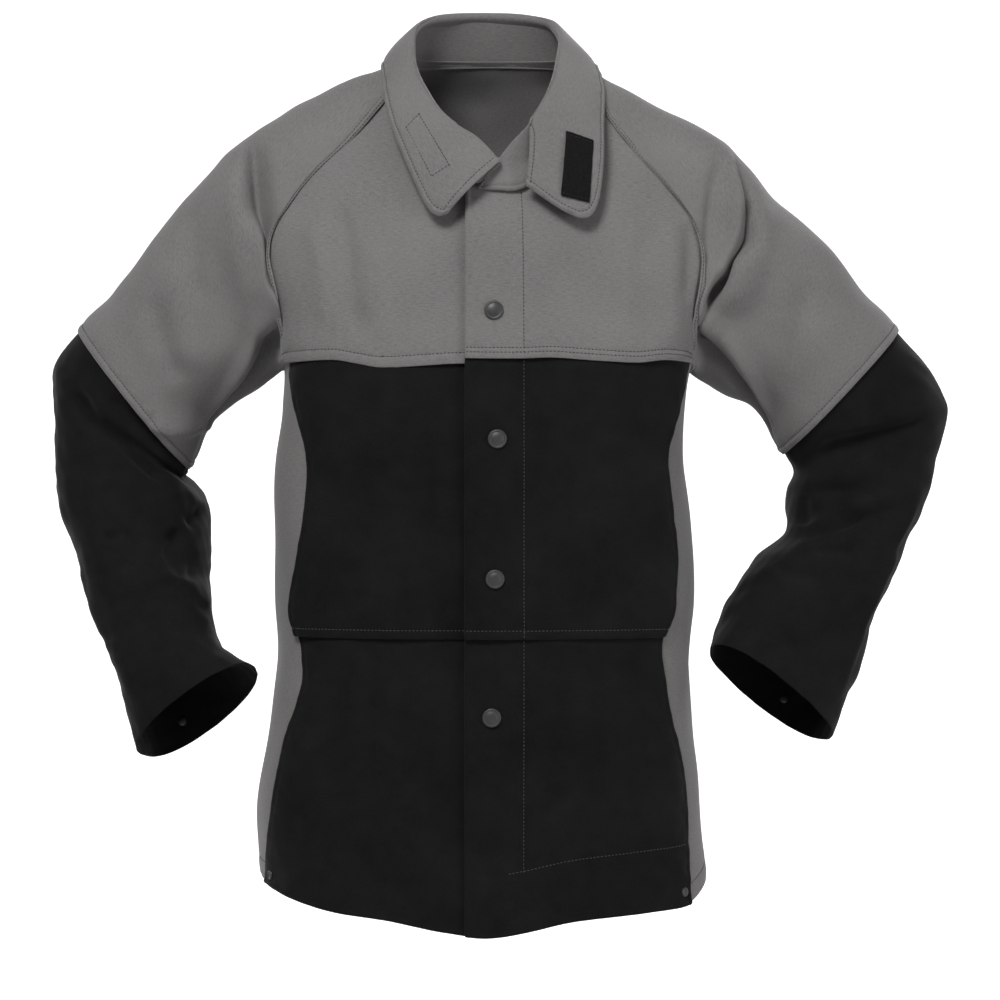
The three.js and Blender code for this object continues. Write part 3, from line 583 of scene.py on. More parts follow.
    def around_neck(self, points: Array) -> Array:
        """The level way out from the neck's middle at each point."""
        return unit(stack(points[..., 0], points[..., 1] - self.NECK_CENTRE_Y, 0))

    def over_shoulders(self, points: Array) -> Array:
        """The way out and up from the neck's middle at each point, which the collar faces."""
        return unit(stack(points[..., 0], points[..., 1] - self.NECK_CENTRE_Y, self.NECK_HALF_WIDTH / 2))


# Meshes


def make_piece(name: str, points: Array, faces: Sequence[Indices], finish: "Finish",
               uv: Array | None = None, uv_faces: Sequence[Indices] = ()) -> bpy.types.Object:
    """Writes arrays into a smooth-shaded mesh object at the origin.

    Args:
        name: The piece's name.
        points: Points in millimetres.
        faces: Groups of faces, each with one corner count.
        finish: The piece's finish.
        uv: Places on the cloth in millimetres.
        uv_faces: The same groups as faces, as rows of uv.

    Returns:
        The linked object.
    """
    mesh = bpy.data.meshes.new(name)
    corners = np.concatenate([group.ravel() for group in faces])
    counts = np.concatenate([np.full(len(group), group.shape[1]) for group in faces])
    mesh.vertices.add(len(points))
    mesh.vertices.foreach_set("co", (points * MM).ravel())
    mesh.loops.add(len(corners))
    mesh.loops.foreach_set("vertex_index", corners)
    mesh.polygons.add(len(counts))
    mesh.polygons.foreach_set("loop_start", np.cumsum(counts) - counts)
    mesh.polygons.foreach_set("use_smooth", np.ones(len(counts), bool))
    if uv is not None:
        layer = mesh.uv_layers.new(name=UV_NAME)
        cloth_corners = np.concatenate([group.ravel() for group in uv_faces])
        layer.data.foreach_set("uv", (uv[cloth_corners] * MM).ravel())
    mesh.update(calc_edges=True)
    mesh.validate()
    mesh.materials.append(finish.material())
    piece = bpy.data.objects.new(name, mesh)
    bpy.context.scene.collection.objects.link(piece)
    return piece


def settle(piece: bpy.types.Object, slot: Slot, *nodes: str) -> bpy.types.Object:
    """Makes a piece part of the jacket: it rides on the one body, in place of some nodes.

    Args:
        piece: The piece.
        slot: The record's material slot; not used.
        nodes: The nodes that it stands for.

    Returns:
        The same piece.
    """
    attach(piece, "root")
    if nodes:
        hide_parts(*nodes)
    log.info("%s: %d faces", piece.name, len(piece.data.polygons))
    return piece


@dataclass(frozen=True)
class Thread:
    """A sewing thread's stitches: their size, their spacing and their finish."""

    finish: "Finish"
    radius: float = 0.4
    length: float = 2.5
    pitch: float = 3.4


@dataclass(frozen=True)
class Seam:
    """A row of stitches beside an edge, with the swell of the edge and the puckers that it makes."""

    inset: float
    puff: float = 0.5
    groove: float = 0.45
    pucker: float = 0.22
    trims: tuple[float, float] = (0.0, 0.0)
    sewn: bool = True

    WIDTH = 1.3
    PUCKER_REACH = 8.0
    PUCKER_LENGTHS = (9.0, 20.0)

    def relief(self, distance: Array, points: Array, seed: int) -> Array:
        """The height beside the edge.

        It is the puff times a half sine between edge and stitches, less a bell-shaped groove at the
        stitches, with waves that fade away from them.

        Args:
            distance: Each point's distance from the edge.
            points: The points.
            seed: The seed of the puckers.

        Returns:
            A height for each point.
        """
        swell = self.puff * np.sin(np.pi * np.clip(distance / self.inset, 0, 1))
        groove = self.groove * np.exp(-(((distance - self.inset) / self.WIDTH) ** 2))
        near = np.exp(-(((distance - self.inset) / self.PUCKER_REACH) ** 2))
        return swell - groove + self.pucker * near * waves(points, self.PUCKER_LENGTHS, seed)


@dataclass(frozen=True)
class Lap:
    """The lift of a cloth beside an edge that lies on another cloth, or under one if it is negative.

    The lift stays whole over the flat distance from the edge and is gone at the fade distance.
    """

    height: float
    flat: float
    fade: float


@dataclass(frozen=True)
class Ripple:
    """The unevenness of a worn cloth: its height, its shortest and longest wave, and its seed."""

    height: float
    lengths: tuple[float, float]
    seed: int


@dataclass(frozen=True)
class Fold:
    """A fold along a route in the front view: a ridge if its height is positive, or a valley.

    One with a way to go moves the cloth along it, so that it can hang over. The others move the cloth as
    it faces.
    """

    route: tuple[tuple[float, float], ...]
    width: float
    height: float
    lean: float = 0.0
    way: tuple[float, float, float] | None = None

    END = 0.22

    def relief(self, points: Array) -> Array:
        """The height of the fold: a bell across the route, fading at both ends.

        The bell is wider by the lean on the route's left and narrower on its right.

        Args:
            points: The points.

        Returns:
            A height for each point.
        """
        route = np.asarray(self.route, float)
        runs = np.diff(route, axis=0)
        lengths = np.linalg.norm(runs, axis=1)
        starts = np.pad(np.cumsum(lengths), (1, 0))[:-1]
        offset = points[..., None, 0::2] - route[:-1]
        share = np.clip((offset * runs).sum(-1) / lengths**2, 0, 1)
        gap = offset - share[..., None] * runs
        distance = np.linalg.norm(gap, axis=-1)
        nearest = distance.argmin(axis=-1)[..., None]
        turn = runs[:, 0] * offset[..., 1] - runs[:, 1] * offset[..., 0]
        left = np.take_along_axis(turn, nearest, -1)[..., 0] > 0
        across = np.take_along_axis(distance, nearest, -1)[..., 0]
        place = np.take_along_axis(starts + share * lengths, nearest, -1)[..., 0] / lengths.sum()
        ends = smoothstep(place, 0, self.END) * (1 - smoothstep(place, 1 - self.END, 1))
        width = self.width * np.where(left, 1 + self.lean, 1 - self.lean)
        return self.height * ends * np.exp(-((across / width) ** 2))


@dataclass
class Cloth:
    """A cloth as a grid of its outer face's points and the way each one faces, in millimetres.

    A ring's last column repeats its first. The spans give each point's distance from each edge. The grain
    gives its place along the weft and the warp, which else follow the rows and the columns.
    """

    points: Array
    facing: Array
    thickness: float
    ring: bool = False
    grain: Array | None = None
    spans: dict[Edge, Array] = field(init=False)
    flat_area: float = field(init=False)

    RIM_STEPS = 3
    FRONT_FADE = (-0.1, 0.4)
    HELD_BAND = (3.0, 12.0)
    RIPPLE_BAND = (8.0, 50.0)

    def __post_init__(self) -> None:
        """Measures the smooth grid, before any relief."""
        across = np.linalg.norm(np.diff(self.points, axis=1), axis=-1)
        along = np.linalg.norm(np.diff(self.points, axis=0), axis=-1)
        start = np.pad(np.cumsum(across, axis=1), ((0, 0), (1, 0)))
        top = np.pad(np.cumsum(along, axis=0), ((1, 0), (0, 0)))
        self.spans = {
            Edge.TOP: top,
            Edge.BOTTOM: top[-1:] - top,
            Edge.START: start,
            Edge.END: start[:, -1:] - start,
        }
        if self.grain is None:
            self.grain = stack(start.mean(axis=0), top.mean(axis=1)[:, None])
        crossed = np.cross(self.points[1:, 1:] - self.points[:-1, :-1],
                           self.points[1:, :-1] - self.points[:-1, 1:])
        self.flat_area = float(np.linalg.norm(crossed, axis=-1).sum() / 2)

    @property
    def flat(self) -> tuple[float, float]:
        """The width and length of the rectangle that the cloth is cut from, in metres."""
        return self.spans[Edge.START][:, -1].max() * MM, self.spans[Edge.TOP][-1].max() * MM

    def lift(self, height: Array) -> None:
        """Moves each point along the way it faces."""
        self.points = self.points + self.facing * height[..., None]

    def lap(self, edge: Edge, lap: Lap, share: ArrayLike = 1.0) -> None:
        """Lifts the cloth beside an edge.

        Args:
            edge: The edge.
            lap: The lift.
            share: The share of it that each point takes.
        """
        self.lift(lap.height * share * (1 - smoothstep(self.spans[edge], lap.flat, lap.fade)))

    def sew(self, seams: Iterable[tuple[Edge, Seam]], seed: int) -> None:
        """Adds the relief of seams beside edges."""
        heights = [seam.relief(self.spans[edge], self.points, seed + i)
                   for i, (edge, seam) in enumerate(seams)]
        self.lift(np.sum(heights, axis=0) if heights else np.zeros(self.points.shape[:2]))

    def crease(self, folds: Sequence[Fold], held: Edge | None = None) -> None:
        """Adds folds to the part of the cloth that faces the front.

        Args:
            folds: The folds.
            held: An edge that stays where it is sewn.
        """
        share = smoothstep(-self.facing[..., 1], *self.FRONT_FADE)
        if held:
            share = share * smoothstep(self.spans[held], *self.HELD_BAND)
        ways = [self.facing if fold.way is None else fold.way for fold in folds]
        moves = [(share * fold.relief(self.points))[..., None] * way for fold, way in zip(folds, ways)]
        self.points = self.points + np.sum(moves, axis=0)

    def ripple(self, ripple: Ripple, *held: Edge, draw: int = 0) -> None:
        """Adds the unevenness of a cloth that has been worn.

        Args:
            ripple: The unevenness.
            held: The edges that stay where they are sewn.
            draw: What is added to its seed.
        """
        loose = ripple.height * waves(self.points, ripple.lengths, ripple.seed + draw)
        for edge in held:
            loose = loose * smoothstep(self.spans[edge], *self.RIPPLE_BAND)
        self.lift(loose)

    def line(self, edge: Edge, inset: float) -> tuple[Array, Array]:
        """The line at a distance inside an edge.

        Args:
            edge: The edge.
            inset: The distance.

        Returns:
            Its points, and the way the cloth faces there.
        """
        grids = [self.spans[edge], self.points, self.facing]
        if edge in (Edge.START, Edge.END):
            grids = [np.swapaxes(grid, 0, 1) for grid in grids]
        if edge in (Edge.BOTTOM, Edge.END):
            grids = [grid[::-1] for grid in grids]
        spans, points, facing = grids
        after = np.clip((spans < inset).sum(axis=0), 1, len(spans) - 1)
        places = np.arange(spans.shape[1])
        low, high = spans[after - 1, places], spans[after, places]
        share = np.clip((inset - low) / (high - low), 0, 1)[:, None]
        return (lerp(points[after - 1, places], points[after, places], share),
                unit(lerp(facing[after - 1, places], facing[after, places], share)))

    def loops(self) -> list[tuple[Indices, Indices]]:
        """The open borders of the grid: two for a ring, else one.

        Returns:
            The rows and columns of the points round each border, closed, all in the same sense.
        """
        rows, columns = self.points.shape[:2]
        down, right = np.arange(rows), np.arange(columns)
        if self.ring:
            return [(0 * right, right), (0 * right + rows - 1, right[::-1])]
        around_rows = [0 * right, down[1:], 0 * right[1:] + rows - 1, down[-2::-1]]
        around_columns = [right, 0 * down[1:] + columns - 1, right[-2::-1], 0 * down[1:]]
        return [(np.concatenate(around_rows), np.concatenate(around_columns))]

    def wall(self, name: str, finish: "Finish") -> bpy.types.Object:
        """The cloth as a closed wall: its outer face, its inner face and half-round rims.

        The inner face lies one thickness behind the outer one. Each rim is a half circle about the
        middle of the thickness, carried round an open border.

        Args:
            name: The piece's name.
            finish: Its finish.

        Returns:
            The object.
        """
        rows, columns = self.points.shape[:2]
        wide = columns - 1 if self.ring else columns
        layer = rows * wide
        places = np.arange(rows)[:, None] * columns + np.arange(columns)
        corner = np.arange(rows)[:, None] * wide + np.arange(columns) % wide
        inner = self.points - self.thickness * self.facing
        points = [self.points[:, :wide].reshape(-1, 3), inner[:, :wide].reshape(-1, 3)]
        run = np.cross(self.points[:-1, 1:] - self.points[:-1, :-1],
                       self.points[1:, :-1] - self.points[:-1, :-1])
        turned = np.sign((run * self.facing[:-1, :-1]).sum())

        def quads(grid: Indices) -> Indices:
            """Each cell of a grid of indices, as a face."""
            cells = np.stack([grid[:-1, :-1], grid[:-1, 1:], grid[1:, 1:], grid[1:, :-1]], axis=-1)
            return cells.reshape(-1, 4)

        faces = [quads(corner), quads(corner + layer)[:, ::-1]]
        uv_faces = [quads(places), quads(places)[:, ::-1]]
        bows = np.pi * np.arange(1, self.RIM_STEPS + 1) / (self.RIM_STEPS + 1)
        count = 2 * layer
        for down, right in self.loops():
            length = len(down) - 1
            border, facing = self.points[down, right][:-1], self.facing[down, right][:-1]
            tangent = np.roll(border, -1, axis=0) - np.roll(border, 1, axis=0)
            outward = turned * unit(np.cross(tangent, facing))
            swing = np.cos(bows)[:, None, None] * facing + np.sin(bows)[:, None, None] * outward
            rim = border - self.thickness / 2 * facing + self.thickness / 2 * swing
            ring = count + np.arange(self.RIM_STEPS)[:, None] * length + np.arange(length + 1) % length
            levels = np.vstack([corner[down, right], ring, corner[down, right] + layer])
            faces.append(quads(levels)[:, [1, 0, 3, 2]])
            uv_faces.append(quads(np.tile(places[down, right], (len(levels), 1)))[:, [1, 0, 3, 2]])
            points.append(rim.reshape(-1, 3))
            count += self.RIM_STEPS * length
        if turned < 0:
            faces, uv_faces = [[group[:, ::-1] for group in groups] for groups in (faces, uv_faces)]
        return make_piece(name, np.concatenate(points), faces, finish, self.grain.reshape(-1, 2), uv_faces)


def grid_facing(points: Array, outward: Array, ring: bool) -> Array:
    """The way a grid of points faces: its run across crossed with its run down.

    Args:
        points: The grid.
        outward: A rough way out at each point, which settles the sign.
        ring: Whether the last column repeats the first.

    Returns:
        Unit vectors.
    """
    if ring:
        padded = np.concatenate([points[:, -2:-1], points, points[:, 1:2]], axis=1)
        across = padded[:, 2:] - padded[:, :-2]
    else:
        across = np.gradient(points, axis=1)
    normal = unit(np.cross(across, np.gradient(points, axis=0)))
    return normal * np.sign((normal * outward).sum())


class Stitching:
    """The stitches of one piece, gathered line by line and made as one mesh."""

    SHARES = np.array([-0.62, 0.0, 0.62])
    GIRTHS = np.array([0.85, 1.0, 0.85])
    HEIGHTS = np.array([0.35, 0.6, 0.35])
    END_HEIGHT = -0.3

    # A stitch's points: a tip, the four corners of each square, and the other tip
    CORNERS = 4
    SQUARE_STARTS = (1, 5, 9)
    LAST_TIP = 13

    def __init__(self, thread: Thread) -> None:
        """Starts with no stitches."""
        self.thread = thread
        self.groups: list[Array] = []

    def add(self, points: Array, facing: Array, trims: tuple[float, float] = (0.0, 0.0)) -> None:
        """Sews along a line.

        A stitch is a small tube of three squares, bowed out of the cloth, whose ends dive into it.

        Args:
            points: The line's points.
            facing: The way the cloth faces along it.
            trims: The lengths left bare at its start and end.
        """
        lengths = run_lengths(points)
        thread = self.thread
        centres = np.arange(trims[0] + thread.pitch / 2, lengths[-1] - trims[1], thread.pitch)
        if not len(centres):
            return

        def along(values: Array, at: Array) -> Array:
            """Values at distances along the line."""
            return stack(*(np.interp(at, lengths, values[:, k]) for k in range(3)))

        out = unit(along(facing, centres))
        ends = [along(points, centres + sign * thread.length / 2) for sign in (-1, 1)]
        tangent = unit(ends[1] - ends[0])
        aside = np.cross(out, tangent)
        spots = stack(centres, centres, centres) + self.SHARES * thread.length / 2
        middles = np.stack([along(points, spots[:, k]) for k in range(3)], axis=1)
        middles = middles + thread.radius * self.HEIGHTS[:, None] * out[:, None]
        corners = np.radians([0, 90, 180, 270])[:, None]
        around = np.cos(corners) * aside[:, None] + np.sin(corners) * out[:, None]
        rings = middles[:, :, None] + thread.radius * self.GIRTHS[:, None, None] * around[:, None]
        tips = [end + self.END_HEIGHT * thread.radius * out for end in ends]
        self.groups.append(np.concatenate(
            [tips[0][:, None], rings.reshape(len(centres), -1, 3), tips[1][:, None]], axis=1))

    def piece(self, name: str) -> bpy.types.Object | None:
        """All stitches as one piece.

        Args:
            name: The piece's name.

        Returns:
            The object, or None if nothing was sewn.
        """
        if not self.groups:
            return None
        stitches = np.concatenate(self.groups)
        j = np.arange(self.CORNERS)
        after = (j + 1) % self.CORNERS
        first, middle, last = self.SQUARE_STARTS
        caps = [stack(0 * j, first + after, first + j),
                stack(last + j, last + after, 0 * j + self.LAST_TIP)]
        sides = [stack(low + j, low + after, high + after, high + j)
                 for low, high in ((first, middle), (middle, last))]
        starts = np.arange(len(stitches))[:, None, None] * stitches.shape[1]
        triangles = (starts + np.concatenate(caps).astype(int)).reshape(-1, 3)
        squares = (starts + np.concatenate(sides).astype(int)).reshape(-1, 4)
        made = make_piece(name, stitches.reshape(-1, 3), [triangles, squares], self.thread.finish)
        return settle(made, self.thread.finish.slot)


# Finishes


class Signal:
    """A value in a shader, whose arithmetic adds Math nodes."""

    def __init__(self, recipe: "Recipe", socket: bpy.types.NodeSocket) -> None:
        """Wraps an output socket."""
        self.recipe = recipe
        self.socket = socket

    def _math(self, operation: str, first: Value, second: Value) -> "Signal":
        """The result of a Math node."""
        return self.recipe.node("ShaderNodeMath", {"operation": operation}, {0: first, 1: second})

    def __add__(self, other: Value) -> "Signal":
        """The sum."""
        return self._math("ADD", self, other)

    __radd__ = __add__

    def __sub__(self, other: Value) -> "Signal":
        """The difference."""
        return self._math("SUBTRACT", self, other)

    def __rsub__(self, other: Value) -> "Signal":
        """The difference from a number."""
        return self._math("SUBTRACT", other, self)

    def __mul__(self, other: Value) -> "Signal":
        """The product."""
        return self._math("MULTIPLY", self, other)

    __rmul__ = __mul__


class Recipe:
    """A material's node tree."""

    # A Mix node for colours, and its sockets for them, which share their names with others
    MIX_SETTINGS = {"data_type": "RGBA", "clamp_factor": True}
    MIX_LOW = 6
    MIX_HIGH = 7
    MIX_RESULT = 2

    def __init__(self, name: str) -> None:
        """Starts a material with an empty tree.

        Args:
            name: The material's name.
        """
        self.material = bpy.data.materials.new(name)
        self.material.use_nodes = True
        self.tree = self.material.node_tree
        self.tree.nodes.clear()

    def node(self, kind: str, settings: dict[str, object], sockets: dict[int | str, Value],
             output: int | str = 0) -> Signal:
        """Adds a node.

        Args:
            kind: The node's type.
            settings: Attributes that are set first.
            sockets: Values or links of its inputs.
            output: The output that is returned.

        Returns:
            The chosen output.
        """
        made = self.tree.nodes.new(kind)
        for key, setting in settings.items():
            setattr(made, key, setting)
        for key, value in sockets.items():
            if isinstance(value, Signal):
                self.tree.links.new(value.socket, made.inputs[key])
            else:
                made.inputs[key].default_value = value
        return Signal(self, made.outputs[output])

    def mix(self, share: Value, low: Sequence[float], high: Sequence[float]) -> Signal:
        """A colour between two, by a share."""
        sockets = {0: share, self.MIX_LOW: (*low, 1), self.MIX_HIGH: (*high, 1)}
        return self.node("ShaderNodeMix", self.MIX_SETTINGS, sockets, self.MIX_RESULT)

    def place(self) -> Signal:
        """The place on the piece, in Object coordinates."""
        return self.node("ShaderNodeTexCoord", {}, {}, "Object")

    def finish(self, **sockets: Value) -> bpy.types.Material:
        """Ends the tree with a shader.

        Args:
            sockets: The values or links of its inputs, with underscores for spaces.

        Returns:
            The material.
        """
        inputs = {key.replace("_", " "): value for key, value in sockets.items()}
        shader = self.node("ShaderNodeBsdfPrincipled", {}, inputs)
        end = self.tree.nodes.new("ShaderNodeOutputMaterial")
        self.tree.links.new(shader.socket, end.inputs["Surface"])
        return self.material


@dataclass(frozen=True)
class Finish:
    """A finish with a name and the record's slot that it belongs to. Its material is made once."""

    name: str
    slot: Slot | None

    def material(self) -> bpy.types.Material:
        """The finish's material."""
        return bpy.data.materials.get(self.name) or self.make(Recipe(self.name))

    def make(self, recipe: Recipe) -> bpy.types.Material:
        """Fills in an empty recipe and gives its material."""
        raise NotImplementedError


@dataclass(frozen=True)
class Grain:
    """A noise that marks a finish, with its weights in the colour, the relief and the roughness.

    It is even in space by its scale, or drawn out to a width and a height on the cloth, in metres.
    """

    scale: float = 1.0
    detail: float = 2.0
    colour: float = 0.0
    relief: float = 0.0
    rough: float = 0.0
    drawn: tuple[float, float] | None = None

    def noise(self, recipe: Recipe) -> Signal:
        """Adds the noise to a recipe.

        Args:
            recipe: The recipe.

        Returns:
            A value from 0 to 1 about a half.
        """
        if self.drawn:
            cloth = recipe.node("ShaderNodeUVMap", {"uv_map": UV_NAME}, {})
            scale = (1 / self.drawn[0], 1 / self.drawn[1], 1.0)
            where = recipe.node("ShaderNodeMapping", {}, {"Vector": cloth, "Scale": scale})
        else:
            where = recipe.place()
        sockets = {"Vector": where, "Scale": self.scale, "Detail": self.detail}
        return recipe.node("ShaderNodeTexNoise", {}, sockets)


@dataclass(frozen=True)
class Grained(Finish):
    """A finish between two colours, marked by grains.

    The share of the light colour is the grains' sum by their colour weights, plus an offset. The bump's
    height is their sum by relief, and the roughness is a number plus their sum by roughness.
    """

    dark: tuple[float, float, float]
    light: tuple[float, float, float]
    grains: tuple[Grain, ...]
    roughness: float
    offset: float = 0.0
    bump: tuple[float, float] = (1.0, 0.001)
    sheen: tuple[float, float] = (0.0, 0.5)
    specular: float = 0.5
    metallic: float = 0.0

    def make(self, recipe: Recipe) -> bpy.types.Material:
        """Adds up the grains and ends the recipe.

        Args:
            recipe: The material's empty tree.

        Returns:
            The material.
        """
        noises = [(grain, grain.noise(recipe)) for grain in self.grains]
        colours = [grain.colour * noise for grain, noise in noises]
        reliefs = [grain.relief * noise for grain, noise in noises if grain.relief]
        roughs = [grain.rough * noise for grain, noise in noises if grain.rough]
        sockets = {}
        if reliefs:
            strength, depth = self.bump
            height = reduce(add, reliefs)
            bump = {"Strength": strength, "Distance": depth, "Height": height}
            sockets["Normal"] = recipe.node("ShaderNodeBump", {}, bump)
        share = reduce(add, colours) + self.offset
        return recipe.finish(Base_Color=recipe.mix(share, self.dark, self.light),
                             Roughness=reduce(add, roughs) + self.roughness, Metallic=self.metallic,
                             Specular_IOR_Level=self.specular, Sheen_Weight=self.sheen[0],
                             Sheen_Roughness=self.sheen[1], **sockets)


@dataclass(frozen=True)
class StudioPaper(Finish):
    """The pale paper of the floor and the backdrop, lit through from behind at the back."""

    colour: tuple[float, float, float] = (0.65, 0.65, 0.65)
    roughness: float = 0.9
    glow: float = 1.0
    near_share: float = 0.05
    glow_depth: tuple[float, float] = (0.8, 2.6)

    def make(self, recipe: Recipe) -> bpy.types.Material:
        """A matt paper whose glow grows towards the back, so that it stays pale behind the jacket.

        Args:
            recipe: The material's empty tree.

        Returns:
            The material.
        """
        depth = recipe.node("ShaderNodeSeparateXYZ", {}, {0: recipe.place()}, "Y")
        near, far = self.glow_depth
        glow = recipe.mix((depth - near) * (1 / (far - near)), (self.near_share,) * 3, (1.0,) * 3)
        return recipe.finish(Base_Color=(*self.colour, 1), Roughness=self.roughness,
                             Specular_IOR_Level=0.0, Emission_Color=glow, Emission_Strength=self.glow)


THREAD_SHADES = (0.7, 1.3)
THREAD_FIBRES = Grain(1500.0, 1.0, colour=1.0, rough=0.2)


def spun(name: str, slot: Slot, grey: float) -> Grained:
    """The finish of a spun thread: fine fibres between a darker and a lighter shade of a grey.

    Args:
        name: Its name.
        slot: Its slot.
        grey: The grey.

    Returns:
        The finish.
    """
    dark, light = [(grey * shade,) * 3 for shade in THREAD_SHADES]
    return Grained(name, slot, dark, light, (THREAD_FIBRES,), roughness=0.6)


# Cotton drill: the weft's slubs, the warp, blotches of the dye, fibres
GREY_COTTON = Grained(
    "grey_cotton", Slot.COTTON, dark=(0.112, 0.109, 0.107), light=(0.222, 0.217, 0.213), offset=-0.8,
    grains=(Grain(drawn=(0.0055, 0.0009), colour=1.04, relief=0.6),
            Grain(drawn=(0.0009, 0.00275), colour=0.65, relief=0.4),
            Grain(14.0, 3.0, colour=0.52, rough=0.1),
            Grain(900.0, 1.0, colour=0.39)),
    roughness=0.85, bump=(0.35, 0.0005), sheen=(0.12, 0.5), specular=0.25)

# Split leather: clouds of the brushed nap, smaller patches, its fibres
BLACK_SUEDE = Grained(
    "black_suede", Slot.LEATHER, dark=(0.0016, 0.0017, 0.0017), light=(0.0115, 0.0118, 0.0117),
    offset=-0.42,
    grains=(Grain(16.0, 5.0, colour=0.75, rough=-0.12),
            Grain(60.0, 3.0, colour=0.45, relief=0.4),
            Grain(650.0, 2.0, colour=0.675, relief=0.6)),
    roughness=0.98, bump=(0.5, 0.0009), sheen=(0.06, 0.45), specular=0.12)

# The loops of a touch fastener, with painted shade between them: one noise raises the loops and darkens
# the colour where the relief sinks
BLACK_PILE = Grained(
    "black_pile", Slot.HOOK_AND_LOOP, dark=(0.003, 0.003, 0.003), light=(0.014, 0.014, 0.014),
    grains=(Grain(420.0, 2.0, colour=1.0, relief=1.0, rough=0.1),),
    roughness=0.9, bump=(0.8, 0.001), specular=0.1)

# Dark plated steel, smudged by handling
PLATED_STEEL = Grained(
    "gunmetal", Slot.GUNMETAL, dark=(0.035, 0.035, 0.036), light=(0.085, 0.085, 0.087),
    grains=(Grain(180.0, 4.0, colour=1.0, rough=0.25),),
    roughness=0.32, metallic=0.85)

DARK_THREAD = Thread(spun("dark_thread", Slot.COTTON, 0.035))
GREY_THREAD = Thread(spun("grey_thread", Slot.LEATHER, 0.05))
BLACK_THREAD = Thread(spun("black_thread", Slot.HOOK_AND_LOOP, 0.012), radius=0.3)


# Folds of each panel: a route in x and z, a width, a height, and for some a lean and a way to go

YOKE_FOLDS = {
    Side.RIGHT: (
        Fold(((-144, -97), (-131, -133), (-124, -195), (-116, -235)), 9, -4.0),
        Fold(((-165, -120), (-152, -160), (-146, -225)), 10, 3.6),
        Fold(((-100, -140), (-98, -200), (-92, -240)), 12, 2.2),
    ),
    Side.LEFT: (
        Fold(((161, -120), (163, -170), (162, -240)), 9, 4.0),
        Fold(((177, -120), (178, -155), (174, -200)), 7, -3.2),
        Fold(((135, -120), (138, -180), (140, -238)), 11, -2.4),
    ),
}
LEATHER_FOLDS = {
    Side.RIGHT: (
        Fold(((-182, -330), (-150, -360), (-110, -372)), 12, -1.6),
        Fold(((-186, -470), (-150, -455), (-115, -450)), 13, 1.6),
        Fold(((-192, -560), (-170, -600), (-160, -680)), 16, 2.0),
    ),
    Side.LEFT: (
        Fold(((176, -320), (140, -345), (100, -352)), 12, -1.6),
        Fold(((178, -480), (145, -462), (110, -456)), 13, 1.6),
        Fold(((176, -560), (160, -610), (152, -690)), 16, 2.0),
    ),
}
SLEEVE_FOLDS = {
    Side.RIGHT: (
        Fold(((-220, -34), (-214, -100), (-209, -135), (-204, -165), (-196, -200)), 8, 17.0, 0.5,
             way=(0.0, 1.0, 0.0)),
        Fold(((-234, -52), (-228, -118), (-222, -149), (-215, -181), (-206, -217)), 12, 6.0),
        Fold(((-222, -112), (-212, -156), (-206, -186), (-199, -212), (-190, -246)), 9, 12.0,
             way=(0.7, -0.7, 0.0)),
        Fold(((-276, -100), (-272, -150), (-268, -200)), 10, -2.6),
        Fold(((-310, -185), (-300, -225), (-286, -275)), 10, -3.6),
        Fold(((-290, -150), (-284, -200), (-268, -262)), 12, 2.6),
        Fold(((-314, -307), (-294, -315), (-276, -314), (-256, -303)), 8, 4.5, 0.5),
    ),
    Side.LEFT: (
        Fold(((214, -50), (200, -93), (195, -135), (188, -184)), 6, -5.0),
        Fold(((218, -40), (234, -101), (230, -135), (215, -172), (190, -212)), 8, -13.0),
        Fold(((214, -46), (219, -96), (214, -132), (202, -168), (188, -196)), 8, 12.0,
             way=(0.5, -0.85, 0.0)),
        Fold(((246, -94), (245, -135), (234, -174), (214, -213)), 13, 5.0),
        Fold(((236, -140), (222, -176), (206, -205), (186, -240)), 9, 12.0,
             way=(-0.7, -0.7, 0.0)),
        Fold(((288, -170), (280, -220), (272, -265)), 11, -3.0),
        Fold(((262, -130), (262, -180), (256, -230)), 12, 2.4),
    ),
}
FOREARM_FOLDS = {
    Side.RIGHT: (
        Fold(((-352, -280), (-337, -291), (-312, -312), (-288, -330)), 7, -5.0),
        Fold(((-390, -268), (-367, -303), (-342, -321), (-312, -349), (-288, -366)), 8, -8.0, 0.3),
        Fold(((-378, -262), (-352, -298), (-325, -318), (-295, -345)), 8, 5.0),
        Fold(((-355, -412), (-328, -404)), 6, -4.0),
        Fold(((-310, -440), (-280, -452), (-262, -472), (-255, -490), (-251, -515)), 8, 7.0, 0.4),
        Fold(((-292, -400), (-277, -436), (-280, -455)), 6, -4.5),
        Fold(((-290, -400), (-295, -424), (-280, -455)), 6, -4.0),
        Fold(((-280, -400), (-258, -382)), 7, -4.5),
        Fold(((-350, -498), (-318, -542)), 9, 4.5),
        Fold(((-287, -404), (-279, -434), (-285, -455), (-264, -487), (-255, -510)), 4, 3.4),
        Fold(((-381, -430), (-374, -455), (-356, -492), (-344, -510)), 4, 3.0),
        Fold(((-312, -329), (-287, -351), (-265, -384)), 4, 3.4),
    ),
    Side.LEFT: (
        Fold(((410, -290), (394, -306), (376, -312), (339, -323), (315, -329), (280, -348)), 8, -8.0),
        Fold(((410, -300), (375, -324), (345, -342), (324, -351), (298, -362)), 8, 6.0, 0.3),
        Fold(((278, -370), (347, -365)), 7, -4.5),
        Fold(((287, -372), (290, -404)), 6, -4.0),
        Fold(((305, -398), (378, -381)), 7, -5.0),
        Fold(((288, -421), (332, -422)), 6, -4.0),
        Fold(((255, -438), (308, -451)), 7, -4.5),
        Fold(((270, -412), (310, -396), (348, -375)), 8, 5.0),
        Fold(((376, -418), (322, -490)), 10, 4.5),
        Fold(((398, -358), (366, -423), (334, -496), (311, -561)), 4, 3.2),
        Fold(((270, -414), (312, -403), (347, -385)), 4, -3.4),
    ),
}


# Panels


